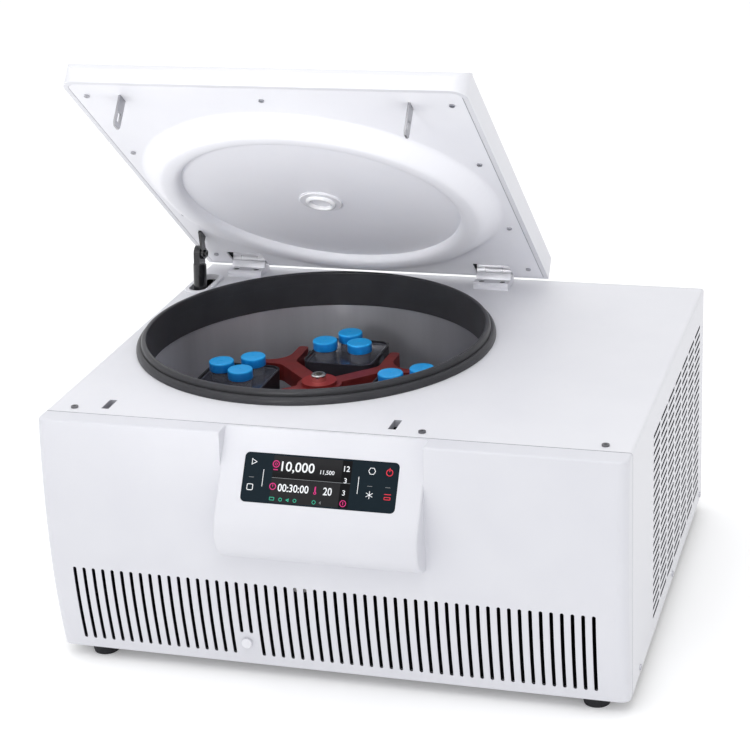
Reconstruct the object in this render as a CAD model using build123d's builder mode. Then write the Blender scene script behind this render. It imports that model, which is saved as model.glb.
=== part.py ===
from build123d import *
import math
import os

os.makedirs("parts", exist_ok=True)


def save(piece, name):
    """Label a finished piece and write it as one STEP file."""
    piece.part.label = name
    export_step(piece.part, f"parts/{name}.step")


# Body. X runs to the right, Y to the back, Z up from the floor.
body_width = 730
body_height = 314
foot_height = 20
top_z = foot_height + body_height
seam_y = -255.6
front_y = -284.6
rear_y = 323.4
sheet = 1.5
cabinet_bend = 4
seat_gap = 0.3

# Rear panel
rear_grille_x = -90
rear_columns = 3
rear_rows = 9
rear_column_pitch = 58
rear_screw_span = 640
entry_x = -290
entry_rise = 60
entry_width = 78
entry_height = 27
entry_depth = 22
socket_offset = 14
socket_width = 40
switch_offset = -24
switch_width = 16
vent_circle = 118
vent_count = 8
vent_radius = 14

# Front panel moulding, with its bulging front and its grille
panel_wall = 3
panel_corner = 12
panel_edge = 3.5
seam_groove = 1.2
bulge_y = -292.6
bulge_drop = 95
knee_y = -292.1
knee_drop = 190
panel_bottom_y = -276.1
grille_slots = 53
grille_x = -2.2
grille_pitch = 12.61
grille_slot_width = 4.6
grille_top_drop = 194
grille_bottom_drop = 300
short_slots = (17, 18)
short_bottom_drop = 267

# Control pod on the front panel
pod_width = 252
pod_top_y = -260.6
pod_slope = 33.4
pod_face_drop = 92
pod_foot_y = -289.6
pod_foot_drop = 156
pod_edge = 3

# Touch glass and the display behind it
glass_width = 191
glass_height = 60
glass_corner = 6
glass_thickness = 2
glass_centre = 60
glass_fit = 0.2
display_width = 98
display_height = 52
display_x = -12
display_depth = 8
board_width = 176
board_height = 58
board_thickness = 1.6

# Emergency release plug
plug_x = -110
plug_drop = 281
plug_diameter = 13
plug_head = 2.5
plug_stem = 9
plug_seat_y = -285
plug_length = 12

# Chamber
chamber_x = -110
chamber_y = 45.4
bowl_radius = 228
bowl_wall = 1.2
bowl_depth = 200
bowl_corner = 25
bowl_flange = 243
opening_radius = 231
gasket_radius = 239
gasket_height = 17.5
gasket_inner = 224.5
gasket_depth = 33
gasket_lip = 2
gasket_foot = 2
gasket_ridge = 231
gasket_ridge_height = 16.3
gasket_groove = 2.5
foam_outer = 250
foam_wall = 12
foam_floor = 20
foam_nose_gap = 5
coil_tube = 8
coil_pitch = 16
coil_turns = 7
coil_top_drop = 66

# Drive
shaft_radius = 10
shaft_fit = 0.05
motor_radius = 75
motor_nose = 40
motor_nose_length = 18
motor_bottom_drop = 290
motor_ribs = 24
shaft_socket = 40
mount_radius = 15
mount_circle = 58
motor_mount_count = 3

# Rotor
rotor_turn = -1
hub_disc_radius = 24
hub_disc_drop = 60
hub_disc_height = 5
hub_radius = 30
hub_bottom_drop = 96
arm_drop = 65
arm_height = 24
arm_width = 22
prong_offset = 60
prong_width = 14
prong_reach = 132
nut_radius = 10
nut_across = 12
nut_height = 9
pin_radius = 6
pin_end_gap = 1.5
yoke_blend = 30
arm_blend = 18

# Swing buckets, hanging on the trunnion pins
bucket_count = 4
bucket_circle = 120
trunnion_drop = 80
bucket_width = 100
bucket_top_drop = 64
bucket_bottom_drop = 160
bucket_foot = 92
bucket_corner = 16
bucket_wall = 2.5
boss_radius = 13
boss_thickness = 6
pin_fit = 0.06
bucket_swing = 90

# Adapters, tubes and caps
adapter_gap = 0.4
adapter_top_drop = 67
adapter_corner = 13
tube_radius = 14.5
tube_wall = 1.2
tube_top_drop = 43.5
tube_bottom_drop = 152
tube_cone = 15
tube_spacing = 25
tube_inner_row = -17.5
tube_outer_row = 19
adapter_facing = (-1, 1, 1, 1)
tube_fit = 0.4
tube_cone_angle = 32
cap_radius = 17
cap_height = 13
cap_top_drop = 41.5
cap_shell = 1.4
cap_fit = 0.3

# Lid, drawn closed and then tilted about the hinge axis
lid_open = 40.4
hinge_y = 304.4
hinge_rise = 19
lid_plane_rise = 13
lid_left = -361
lid_right = 149.5
lid_front = -265.1
lid_rear = 314.4
lid_thickness = 34
lid_corner = 20
lid_rear_corner = 8
lid_top_edge = 3
lid_nose_start = 18
lid_nose_run = 32
lid_wall = 3.5
liner_gap = 0.4
liner_thickness = 2.5
dome_foot = 241.5
dome_drop = 22
dome_crest = 208
dome_shoulder = 222
dish_radius = 186
dish_rise = 12
dish_blend = 9
port_radius = 28.5
port_glass_radius = 18
port_thickness = 3
lid_screw_inset = 23
lid_screw_rows = (-228.6, -65.6, 135.4, 279.4)
lid_screw_radius = 3.4

lid_rim = 6

# Strikers and the latch bar
striker_foot = 14
striker_bevel = 4
latch_x = (-293, 75)
striker_y = -223.6
striker_width = 18
striker_length = 40
striker_thickness = 2.5
striker_hole = (9, 13)
striker_hole_drop = 26
slot_length = 29
slot_width = 10
latch_travel = 12
latch_bar_drop = 35
latch_bar_height = 10
latch_bar_width = 8
nose_length = 12
nose_section = 6
nose_gap = 2.5
latch_bar_gap = 0.5
latch_unit_x = -190
latch_unit_length = 60
latch_unit_width = 26
latch_unit_height = 42
latch_coil_radius = 11
latch_coil_height = 20

# Hinges
hinge_x = (-293.5, 73.5)
hinge_width = 50
hinge_block_front = 272.4
hinge_block_height = 9
knuckle_radius = 8
knuckle_half = 12
knuckle_gap = 0.4
hinge_pin_radius = 3
hinge_pin_fit = 0.05
arm_front = 271.4
hinge_arm_height = 14
hinge_pocket_gap = 1.5

hinge_screw_y = 283.4
hinge_screw_pitch = 30
hinge_screw_radius = 4.5
hinge_screw_sink = 3

# Gas spring: pin on the lid, anchor on the base
gas_x = -341
gas_pin_y = 224.4
gas_pin_rise = 50
gas_anchor_y = 180.4
gas_anchor_drop = 262
gas_cylinder_radius = 9.5
gas_cylinder_length = 185
gas_clevis = 27
gas_clevis_width = 22
gas_fork_gap = 11
gas_rod_radius = 4
gas_lug_thickness = 4
gas_lug_x = -334.5
gas_lug_y = 203.9
gas_lug_width = 21
gas_lug_skirt = 3
gas_pin_radius = 3.5
gas_eye_thickness = 9
gas_lug_eye = 8
gas_head_radius = 5
gas_head_height = 3
gas_engaged = 60
gas_eye_radius = 12
gas_eye_bore = 7.5
gas_anchor_pin = 3
bezel_length = 78
bezel_width = 30
bezel_rim = 4.5
bezel_height = 3
bezel_skirt = 5
bezel_y = 233.4

# Cooling unit
compressor_x = 235
compressor_y = 255.4
compressor_radius = 50
compressor_foot = 120
compressor_stand = 14
compressor_height = 150
compressor_edge = 18
condenser_x = 318
condenser_y = 35.4
condenser_length = 270
condenser_height = 250
condenser_depth = 36
condenser_fin_pitch = 15
condenser_fins = 17
shroud_depth = 40
fan_radius = 100
fan_gap = 4
fan_blades = 5
fan_hub_radius = 28
fan_shaft_radius = 4
fan_blade_start = 3
fan_blade_depth = 24
fan_blade_width = 50
fan_motor_length = 35
pipe_loop = 105
pipe_bend = 15
pipe_landing = 110

# Rocker of the power switch
rocker_low = 2.4
rocker_high = 4
rocker_gap = 1.5
rocker_pivot = 1
rocker_depth = 5

# Screws and feet
cover_screw_x = (-332, 113, 331)
cover_screw_y = -240.6
cover_screw_radius = 4.6
flange_screw_y = (-203.6, 50.4, 304.4)
flange_screw_rise = 9
screw_head_radius = 4
screw_head_height = 2
screw_shank = 1.8
screw_hole = 2
screw_length = 8
foot_x = 320
foot_front_y = -244.6
foot_rear_y = 285.4
foot_top_radius = 20
foot_floor_radius = 16

# Side grille
side_columns = 7
side_rows = 23
side_slot_length = 50
side_slot_height = 5
side_column_pitch = 58
side_row_pitch = 11.1
side_grille_front = -106.6
side_grille_top_drop = 44

# Frame inside the cabinet
frame_flange = 26
frame_sheet = 2
rail_depth = 24
rail_height = 10
rail_notch = 44
post_width = 16

lid_axis = Plane(
    origin=(0, hinge_y, top_z + hinge_rise),
    x_dir=(1, 0, 0),
    z_dir=(0, math.sin(math.radians(lid_open)), math.cos(math.radians(lid_open))),
)
lid_under = lid_plane_rise - hinge_rise
chamber_section = Plane(origin=(chamber_x, chamber_y, top_z), x_dir=(1, 0, 0), z_dir=(0, -1, 0))
half_width = body_width / 2
hinge_screw_spots = [(x + side * hinge_screw_pitch / 2, hinge_screw_y) for x in hinge_x for side in (-1, 1)]
inside_width = body_width - 2 * sheet - 2 * seat_gap


def lid_level(rise):
    """Plane of the open lid, this far above its underside when the lid is shut."""
    return lid_axis.offset(lid_under + rise)


def lid_y(y):
    """Place along the lid of something at this Y when the lid is shut."""
    return y - hinge_y


def at_drop(drop):
    """Horizontal plane this far below the top of the cabinet."""
    return Plane.XY.offset(top_z - drop)


# Cabinet: top and both sides bent from one sheet
cabinet_length = rear_y - sheet - seam_y
with BuildPart() as cabinet:
    with BuildSketch(Plane(origin=(0, seam_y, foot_height), x_dir=(1, 0, 0), z_dir=(0, -1, 0))):
        with Locations((0, body_height / 2)):
            outside = Rectangle(body_width, body_height)
        fillet(outside.vertices().sort_by(Axis.Y)[-2:], cabinet_bend)
        with Locations((0, (body_height - sheet) / 2)):
            Rectangle(body_width - 2 * sheet, body_height - sheet, mode=Mode.SUBTRACT)
    extrude(amount=-cabinet_length)
    with BuildSketch(Plane.XY.offset(top_z)):
        with Locations((chamber_x, chamber_y)):
            Circle(opening_radius)
        for x in latch_x:
            with Locations((x, striker_y)):
                Rectangle(slot_width, slot_length)
        with Locations((gas_x, bezel_y)):
            SlotOverall(bezel_length, bezel_width, rotation=90)
        with Locations(*[(x, cover_screw_y) for x in cover_screw_x]):
            Circle(screw_hole)
    extrude(amount=-2 * sheet, mode=Mode.SUBTRACT)
    grille_mid_y = side_grille_front + side_column_pitch * (side_columns - 1) / 2 + side_slot_length / 2
    grille_mid_z = top_z - side_grille_top_drop - side_row_pitch * (side_rows - 1) / 2
    with BuildSketch(Plane.YZ.offset(half_width)):
        with Locations((grille_mid_y, grille_mid_z)):
            with GridLocations(side_column_pitch, side_row_pitch, side_columns, side_rows):
                SlotOverall(side_slot_length, side_slot_height)
    extrude(amount=-2 * sheet, mode=Mode.SUBTRACT)
    with BuildSketch(Plane.YZ.offset(-half_width - sheet)):
        with Locations(*[(y, foot_height + flange_screw_rise) for y in flange_screw_y]):
            Circle(screw_hole)
    extrude(amount=body_width + 2 * sheet, mode=Mode.SUBTRACT)
save(cabinet, "cabinet")


# Front panel: one moulding with the pod, its grille and a hollow back
def front_outline(back_y):
    """Side view of the front: flat top, bulging face, flat foot."""
    with BuildLine() as outline:
        Line((back_y, top_z), (front_y, top_z))
        upper = ThreePointArc(
            (front_y, top_z),
            ((front_y + knee_y) / 2 - (front_y - bulge_y) / 2, top_z - bulge_drop),
            (knee_y, top_z - knee_drop),
        )
        TangentArc((knee_y, top_z - knee_drop), (panel_bottom_y, foot_height), tangent=upper % 1)
        Polyline((panel_bottom_y, foot_height), (back_y, foot_height), (back_y, top_z))
    make_face(outline.edges())


def front_corners(part):
    """Upright edges at the two front corners."""
    upright = part.edges().filter_by(lambda e: abs(abs(e.center().X) - part.bounding_box().max.X) < 0.01)
    return upright.filter_by(lambda e: e.geom_type == GeomType.CIRCLE)


slope = math.radians(pod_slope)
face_run = pod_face_drop * math.tan(slope)
pod_face = Plane(
    origin=(0, pod_top_y, top_z),
    x_dir=(1, 0, 0),
    z_dir=(0, -math.cos(slope), math.sin(slope)),
)


def pod_outline(back_y):
    """Side view of the pod: sloping face and a large round foot."""
    face_foot = (pod_top_y - face_run, top_z - pod_face_drop)
    with BuildLine() as outline:
        face = Line((pod_top_y, top_z), face_foot)
        TangentArc(face_foot, (pod_foot_y, top_z - pod_foot_drop), tangent=face % 1)
        Polyline(
            (pod_foot_y, top_z - pod_foot_drop),
            (back_y, top_z - pod_foot_drop),
            (back_y, top_z),
            (pod_top_y, top_z),
        )
    make_face(outline.edges())


def notch_outline(sink):
    """Region above the pod's sloping face, lowered by sink."""
    drop = sink / math.sin(slope)
    with BuildLine() as outline:
        Polyline(
            (pod_top_y + 40 * math.tan(slope), top_z + 40 - drop),
            (pod_top_y - face_run, top_z - pod_face_drop - drop),
            (pod_top_y - face_run - 20, top_z + 40),
            (pod_top_y + 40 * math.tan(slope), top_z + 40),
            close=True,
        )
    make_face(outline.edges())


hollow_back = seam_y + 4 * panel_wall
with BuildPart() as panel_hollow:
    with BuildSketch(Plane.YZ):
        front_outline(hollow_back)
        offset(amount=-panel_wall, kind=Kind.INTERSECTION, mode=Mode.REPLACE)
    extrude(amount=half_width - panel_wall, both=True)
    fillet(front_corners(panel_hollow.part), panel_corner - panel_wall)
    with BuildSketch(Plane.YZ):
        notch_outline(panel_wall)
    extrude(amount=pod_width / 2 + panel_wall, both=True, mode=Mode.SUBTRACT)
    with BuildSketch(Plane.YZ):
        pod_outline(hollow_back)
        offset(amount=-panel_wall, kind=Kind.INTERSECTION, mode=Mode.REPLACE)
    extrude(amount=pod_width / 2 - panel_wall, both=True)

with BuildPart() as pod:
    with BuildSketch(Plane.YZ):
        pod_outline(pod_top_y + 1)
    extrude(amount=pod_width / 2, both=True)
    pod_sides = pod.edges().filter_by(lambda e: abs(abs(e.center().X) - pod_width / 2) < 0.01)
    fillet(pod_sides.filter_by(lambda e: e.center().Y < front_y), pod_edge)

with BuildPart() as front_panel:
    with BuildSketch(Plane.YZ):
        front_outline(seam_y)
    extrude(amount=half_width, both=True)
    fillet(front_corners(front_panel.part), panel_corner)
    rim = front_panel.edges().group_by(Axis.Z)[-1].filter_by(lambda e: e.center().Y < seam_y - 1)
    fillet(rim, panel_edge)
    seam = front_panel.edges().group_by(Axis.Y)[-1].filter_by(lambda e: e.center().Z > foot_height + 1)
    chamfer(seam, seam_groove)
    with BuildSketch(Plane.YZ):
        notch_outline(0)
    extrude(amount=pod_width / 2, both=True, mode=Mode.SUBTRACT)
    add(pod.part)
    add(panel_hollow.part, mode=Mode.SUBTRACT)
    with BuildSketch(Plane.XZ.offset(-front_y - 30)):
        full_length = grille_bottom_drop - grille_top_drop
        short_length = short_bottom_drop - grille_top_drop
        for index in range(grille_slots):
            x = grille_x + (index - (grille_slots - 1) / 2) * grille_pitch
            length = short_length if index in short_slots else full_length
            with Locations((x, top_z - grille_top_drop - length / 2)):
                SlotOverall(length, grille_slot_width, rotation=90)
        with Locations((plug_x, top_z - plug_drop)):
            Circle(plug_stem / 2)
    extrude(amount=60, mode=Mode.SUBTRACT)
    with BuildSketch(pod_face):
        with Locations((0, -glass_centre)):
            RectangleRounded(glass_width + 2 * glass_fit, glass_height + 2 * glass_fit, glass_corner)
    extrude(amount=-glass_thickness, mode=Mode.SUBTRACT)
    with BuildSketch(pod_face):
        with Locations((display_x, -glass_centre)):
            Rectangle(display_width + 2 * glass_fit, display_height + 2 * glass_fit)
    extrude(amount=-4 * panel_wall, mode=Mode.SUBTRACT)
save(front_panel, "front_panel")


# Rear panel, with its fan grille, inlet and switch openings
with BuildPart() as rear_panel:
    with BuildSketch(Plane(origin=(0, rear_y - sheet, foot_height), x_dir=(1, 0, 0), z_dir=(0, -1, 0))):
        with Locations((0, body_height / 2)):
            outline = Rectangle(body_width, body_height)
        fillet(outline.vertices().sort_by(Axis.Y)[-2:], cabinet_bend)
        with Locations((rear_grille_x, body_height / 2)):
            with GridLocations(rear_column_pitch, side_row_pitch, rear_columns, rear_rows):
                SlotOverall(side_slot_length, side_slot_height, mode=Mode.SUBTRACT)
        with Locations((entry_x, entry_rise)):
            Rectangle(entry_width + seat_gap, entry_height + seat_gap, mode=Mode.SUBTRACT)
        with Locations((0, flange_screw_rise)):
            with GridLocations(rear_screw_span / 2, 1, 3, 1):
                Circle(screw_hole, mode=Mode.SUBTRACT)
    extrude(amount=-sheet)
save(rear_panel, "rear_panel")

# Base tray: upturned edges take the side and rear screws
tray_rear = rear_y - sheet - seat_gap
tray_front = seam_y + seat_gap
with BuildPart() as base_plate:
    with BuildSketch(Plane.XY.offset(foot_height)):
        with Locations((0, (tray_rear + tray_front) / 2)):
            Rectangle(inside_width, tray_rear - tray_front)
    extrude(amount=2 * flange_screw_rise)
    with BuildSketch(Plane.XY.offset(foot_height + frame_sheet)):
        with Locations((0, (tray_rear + tray_front) / 2 - frame_sheet)):
            Rectangle(inside_width - 2 * frame_sheet, tray_rear - tray_front)
    extrude(amount=2 * flange_screw_rise, mode=Mode.SUBTRACT)
    with BuildSketch(Plane.XY.offset(foot_height)):
        with Locations((chamber_x, chamber_y)):
            with PolarLocations(vent_circle, vent_count):
                Circle(vent_radius)
    extrude(amount=frame_sheet, mode=Mode.SUBTRACT)
    with BuildSketch(Plane.YZ.offset(-half_width)):
        with Locations(*[(y, foot_height + flange_screw_rise) for y in flange_screw_y]):
            Circle(screw_hole)
    extrude(amount=body_width, mode=Mode.SUBTRACT)
    with BuildSketch(Plane(origin=(0, rear_y, foot_height + flange_screw_rise), x_dir=(1, 0, 0), z_dir=(0, -1, 0))):
        with GridLocations(rear_screw_span / 2, 1, 3, 1):
            Circle(screw_hole)
    extrude(amount=screw_length, mode=Mode.SUBTRACT)
save(base_plate, "base_plate")

# Front frame: two posts and a top rail under the cover
rail_front = seam_y + seat_gap
frame_base = foot_height + frame_sheet
with BuildPart() as front_frame:
    with BuildSketch(Plane(origin=(0, rail_front, frame_base), x_dir=(1, 0, 0), z_dir=(0, -1, 0))):
        frame_height = top_z - sheet - seat_gap - frame_base
        inner_width = inside_width - 2 * frame_sheet - 2 * seat_gap
        with Locations((0, frame_height / 2)):
            Rectangle(inner_width, frame_height)
        with Locations((0, (frame_height - rail_height) / 2)):
            Rectangle(inner_width - 2 * post_width, frame_height - rail_height, mode=Mode.SUBTRACT)
        with Locations((display_x, frame_height)):
            Rectangle(pod_width, 2 * rail_height, mode=Mode.SUBTRACT)
    extrude(amount=-frame_sheet)
    with BuildSketch(Plane.XY.offset(top_z - sheet - seat_gap)):
        with Locations((0, rail_front + frame_flange / 2)):
            Rectangle(inner_width, frame_flange)
        for x in latch_x:
            with Locations((x, striker_y)):
                Rectangle(rail_notch, slot_length + 2, mode=Mode.SUBTRACT)
        with Locations(*[(x, cover_screw_y) for x in cover_screw_x]):
            Circle(screw_hole, mode=Mode.SUBTRACT)
    extrude(amount=-frame_sheet)
save(front_frame, "front_frame")

# Feet
with BuildPart() as feet:
    with BuildSketch(Plane.XY):
        with Locations((0, (foot_front_y + foot_rear_y) / 2)):
            with GridLocations(2 * foot_x, foot_rear_y - foot_front_y, 2, 2):
                Circle(foot_floor_radius)
    taper = math.degrees(math.atan((foot_top_radius - foot_floor_radius) / foot_height))
    extrude(amount=foot_height, taper=-taper)
save(feet, "feet")

# Touch glass in its recess, with the display and its board behind
with BuildPart() as touch_glass:
    with BuildSketch(pod_face.offset(-glass_thickness)):
        with Locations((0, -glass_centre)):
            RectangleRounded(glass_width, glass_height, glass_corner - glass_fit)
    extrude(amount=glass_thickness)
save(touch_glass, "touch_glass")

with BuildPart() as display_module:
    with BuildSketch(pod_face.offset(-glass_thickness - glass_fit)):
        with Locations((display_x, -glass_centre)):
            Rectangle(display_width, display_height)
    extrude(amount=-display_depth)
save(display_module, "display_module")

with BuildPart() as control_board:
    with BuildSketch(pod_face.offset(-glass_thickness - glass_fit - display_depth)):
        with Locations((0, -glass_centre)):
            Rectangle(board_width, board_height)
    extrude(amount=-board_thickness)
    with BuildSketch(pod_face.offset(-panel_wall - glass_fit)):
        with Locations((0, -glass_centre)):
            with GridLocations(board_width - 8, board_height - 8, 2, 2):
                Circle(screw_head_radius)
    extrude(amount=panel_wall - glass_thickness - display_depth)
save(control_board, "control_board")


def screws_on(plane, spots, length=screw_length, head=screw_head_radius):
    """Cross-head screws with their heads resting on this plane."""
    with BuildSketch(plane) as heads:
        with Locations(*spots):
            Circle(head)
    extrude(heads.sketch, amount=screw_head_height)
    with BuildSketch(plane.offset(screw_head_height)) as crosses:
        with Locations(*spots):
            Rectangle(head, head / 4)
            Rectangle(head / 4, head)
    extrude(crosses.sketch, amount=-screw_head_height / 2, mode=Mode.SUBTRACT)
    with BuildSketch(plane) as shanks:
        with Locations(*spots):
            Circle(screw_shank)
    extrude(shanks.sketch, amount=-length)


with BuildPart() as case_screws:
    screws_on(Plane.XY.offset(top_z), [(x, cover_screw_y) for x in cover_screw_x], head=cover_screw_radius)
    flange_z = foot_height + flange_screw_rise
    screws_on(Plane.YZ.offset(half_width), [(y, flange_z) for y in flange_screw_y])
    screws_on((-Plane.YZ).offset(half_width), [(y, -flange_z) for y in flange_screw_y])
    rear_spots = [(x * rear_screw_span / 2, flange_z) for x in (-1, 0, 1)]
    screws_on(Plane(origin=(0, rear_y, 0), x_dir=(-1, 0, 0), z_dir=(0, 1, 0)), rear_spots)
    screws_on(
        Plane.XY.offset(top_z + hinge_block_height - hinge_screw_sink),
        hinge_screw_spots,
        length=hinge_block_height - hinge_screw_sink,
        head=hinge_screw_radius - glass_fit,
    )
save(case_screws, "case_screws")

# Chamber: gasket, bowl, insulation and evaporator coil
with BuildPart() as chamber_gasket:
    with BuildSketch(chamber_section):
        with BuildLine():
            Polyline((opening_radius - seat_gap, 0), (gasket_radius, 0), (gasket_radius, gasket_foot))
            ThreePointArc(
                (gasket_radius, gasket_foot),
                (gasket_ridge + 0.72 * (gasket_radius - gasket_ridge), 0.7 * gasket_ridge_height),
                (gasket_ridge, gasket_ridge_height),
            )
            groove_spot = (gasket_ridge - gasket_groove, gasket_ridge_height - gasket_groove)
            Polyline((gasket_ridge, gasket_ridge_height), groove_spot, (gasket_inner + gasket_lip, gasket_height))
            lip_z = gasket_height - gasket_lip
            RadiusArc((gasket_inner + gasket_lip, gasket_height), (gasket_inner, lip_z), -gasket_lip)
            Polyline(
                (gasket_inner, lip_z),
                (gasket_inner, -gasket_depth),
                (bowl_radius - seat_gap, -gasket_depth),
                (bowl_radius - seat_gap, -sheet),
                (opening_radius - seat_gap, -sheet),
                (opening_radius - seat_gap, 0),
            )
        make_face()
    revolve(axis=Axis((chamber_x, chamber_y, 0), (0, 0, 1)))
save(chamber_gasket, "chamber_gasket")

bowl_top = -sheet - seat_gap
with BuildPart() as chamber_bowl:
    with BuildSketch(chamber_section):
        with BuildLine():
            outer = bowl_radius + bowl_wall
            Polyline(
                (bowl_radius, bowl_top),
                (bowl_flange, bowl_top),
                (bowl_flange, bowl_top - bowl_wall),
                (outer, bowl_top - bowl_wall),
                (outer, bowl_corner - bowl_depth),
            )
            RadiusArc(
                (outer, bowl_corner - bowl_depth),
                (bowl_radius - bowl_corner, -bowl_depth - bowl_wall),
                bowl_corner + bowl_wall,
            )
            Polyline(
                (bowl_radius - bowl_corner, -bowl_depth - bowl_wall),
                (shaft_radius + 5, -bowl_depth - bowl_wall),
                (shaft_radius + 5, -bowl_depth),
                (bowl_radius - bowl_corner, -bowl_depth),
            )
            RadiusArc(
                (bowl_radius - bowl_corner, -bowl_depth),
                (bowl_radius, bowl_corner - bowl_depth),
                -bowl_corner,
            )
            Line((bowl_radius, bowl_corner - bowl_depth), (bowl_radius, bowl_top))
        make_face()
    revolve(axis=Axis((chamber_x, chamber_y, 0), (0, 0, 1)))
save(chamber_bowl, "chamber_bowl")

foam_top = bowl_top - bowl_wall - seat_gap
foam_seat = -bowl_depth - bowl_wall - seat_gap
with BuildPart() as chamber_insulation:
    with BuildSketch(at_drop(-foam_top)):
        with Locations((chamber_x, chamber_y)):
            Circle(foam_outer)
    extrude(amount=foam_seat - foam_floor - foam_top)
    with BuildSketch(at_drop(-foam_top)):
        with Locations((chamber_x, chamber_y)):
            Circle(foam_outer - foam_wall)
    extrude(amount=foam_seat - foam_top, mode=Mode.SUBTRACT)
    with BuildSketch(at_drop(-foam_seat)):
        with Locations((chamber_x, chamber_y)):
            Circle(motor_nose + foam_nose_gap)
    extrude(amount=-foam_floor, mode=Mode.SUBTRACT)
save(chamber_insulation, "chamber_insulation")

coil_radius = bowl_radius + bowl_wall + seat_gap + coil_tube / 2
coil_start = top_z - coil_top_drop - coil_pitch * coil_turns
with BuildPart() as evaporator_coil:
    with BuildLine():
        coil_path = Helix(coil_pitch, coil_pitch * coil_turns, coil_radius, center=(chamber_x, chamber_y, coil_start))
    with BuildSketch(Plane(origin=coil_path @ 0, z_dir=coil_path % 0)):
        Circle(coil_tube / 2)
        Circle(coil_tube / 2 - 1, mode=Mode.SUBTRACT)
    sweep(path=coil_path, is_frenet=True)
save(evaporator_coil, "evaporator_coil")

# Drive: motor on rubber mounts, and its shaft
motor_top = foam_seat - foam_floor - seat_gap
with BuildPart() as drive_motor:
    with BuildSketch(at_drop(motor_bottom_drop)):
        with Locations((chamber_x, chamber_y)):
            motor_circle = Circle(motor_radius)
    extrude(amount=motor_bottom_drop + motor_top)
    with BuildSketch(at_drop(-motor_top)):
        with Locations((chamber_x, chamber_y)):
            Circle(motor_nose)
    extrude(amount=motor_nose_length)
    with BuildSketch(at_drop(motor_bottom_drop)):
        with Locations((chamber_x, chamber_y)):
            with PolarLocations(motor_radius, motor_ribs):
                Rectangle(4, 6)
    extrude(amount=motor_bottom_drop + motor_top - 8)
    with BuildSketch(at_drop(-motor_top - motor_nose_length)):
        with Locations((chamber_x, chamber_y)):
            Circle(shaft_radius + shaft_fit)
    extrude(amount=-shaft_socket, mode=Mode.SUBTRACT)
save(drive_motor, "drive_motor")

with BuildPart() as motor_mounts:
    with BuildSketch(Plane.XY.offset(frame_base)):
        with Locations((chamber_x, chamber_y)):
            with PolarLocations(mount_circle, motor_mount_count):
                Circle(mount_radius)
    extrude(amount=top_z - motor_bottom_drop - frame_base)
save(motor_mounts, "motor_mounts")

shaft_top = -hub_disc_drop
with BuildPart() as drive_shaft:
    with BuildSketch(at_drop(-shaft_top)):
        with Locations((chamber_x, chamber_y)):
            Circle(shaft_radius)
    extrude(amount=motor_top + motor_nose_length - shaft_socket + 1 - shaft_top)
save(drive_shaft, "drive_shaft")


# Rotor: hub, four arms and a pair of prongs for every bucket
def rotor_plane(drop):
    """Horizontal plane through the rotor axis, turned with the rotor."""
    return Plane(
        origin=(chamber_x, chamber_y, top_z - drop),
        x_dir=(math.cos(math.radians(rotor_turn)), math.sin(math.radians(rotor_turn)), 0),
        z_dir=(0, 0, 1),
    )


corner_reach = prong_offset + prong_width / 2
yoke_reach = (prong_offset + prong_width) * math.sqrt(2)
arm_length = yoke_reach - 1
with BuildPart() as rotor_cross:
    with BuildSketch(rotor_plane(hub_disc_drop)):
        Circle(hub_disc_radius)
    extrude(amount=-hub_disc_height)
    with BuildSketch(rotor_plane(hub_disc_drop + hub_disc_height)):
        Circle(hub_radius)
    extrude(amount=hub_disc_drop + hub_disc_height - hub_bottom_drop)
    with BuildSketch(rotor_plane(arm_drop)):
        with PolarLocations(0, bucket_count, start_angle=45):
            with Locations((arm_length / 2, 0)):
                Rectangle(arm_length, arm_width)
        for side in (-1, 1):
            with PolarLocations(0, bucket_count):
                with Locations(((prong_offset + prong_reach) / 2, side * corner_reach)):
                    Rectangle(prong_reach - prong_offset, prong_width)
    extrude(amount=-arm_height)
    tips = rotor_cross.edges().filter_by(Axis.Z).filter_by(
        lambda e: math.hypot(e.center().X - chamber_x, e.center().Y - chamber_y) > prong_reach
    )
    fillet(tips, prong_width / 3)
    arm_end = math.hypot(prong_offset, prong_offset + arm_width / math.sqrt(2))
    for blend, reach in ((yoke_blend, yoke_reach), (arm_blend, arm_end)):
        corners = rotor_cross.edges().filter_by(Axis.Z).filter_by(
            lambda e: abs(math.hypot(e.center().X - chamber_x, e.center().Y - chamber_y) - reach) < 0.1
        )
        fillet(corners, blend)
    with BuildSketch(rotor_plane(hub_disc_drop)):
        Circle(shaft_radius)
    extrude(amount=hub_disc_drop - hub_bottom_drop, mode=Mode.SUBTRACT)
save(rotor_cross, "rotor_cross")

with BuildPart() as rotor_nut:
    with BuildSketch(rotor_plane(hub_disc_drop)):
        Circle(nut_radius)
    extrude(amount=nut_height)
    chamfer(rotor_nut.edges().filter_by(GeomType.CIRCLE).sort_by(Axis.Z)[-1], 1)
    with BuildSketch(rotor_plane(hub_disc_drop - nut_height)):
        RegularPolygon(nut_across / 2, 6, major_radius=False)
    extrude(amount=-2 * nut_height / 3, mode=Mode.SUBTRACT)
save(rotor_nut, "rotor_nut")

pin_length = prong_offset - bucket_width / 2 - pin_end_gap
with BuildPart() as trunnion_pins:
    for side in (-1, 1):
        for turn in range(bucket_count):
            heading = rotor_turn + turn * 360 / bucket_count
            cross = side * (prong_offset - pin_length / 2)
            ahead = Vector(math.cos(math.radians(heading)), math.sin(math.radians(heading)), 0)
            aside = Vector(-ahead.Y, ahead.X, 0)
            spot = rotor_plane(trunnion_drop).origin + ahead * bucket_circle + aside * cross
            with BuildSketch(Plane(origin=spot, z_dir=aside)):
                Circle(pin_radius)
            extrude(amount=pin_length / 2, both=True)
save(trunnion_pins, "trunnion_pins")


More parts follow.
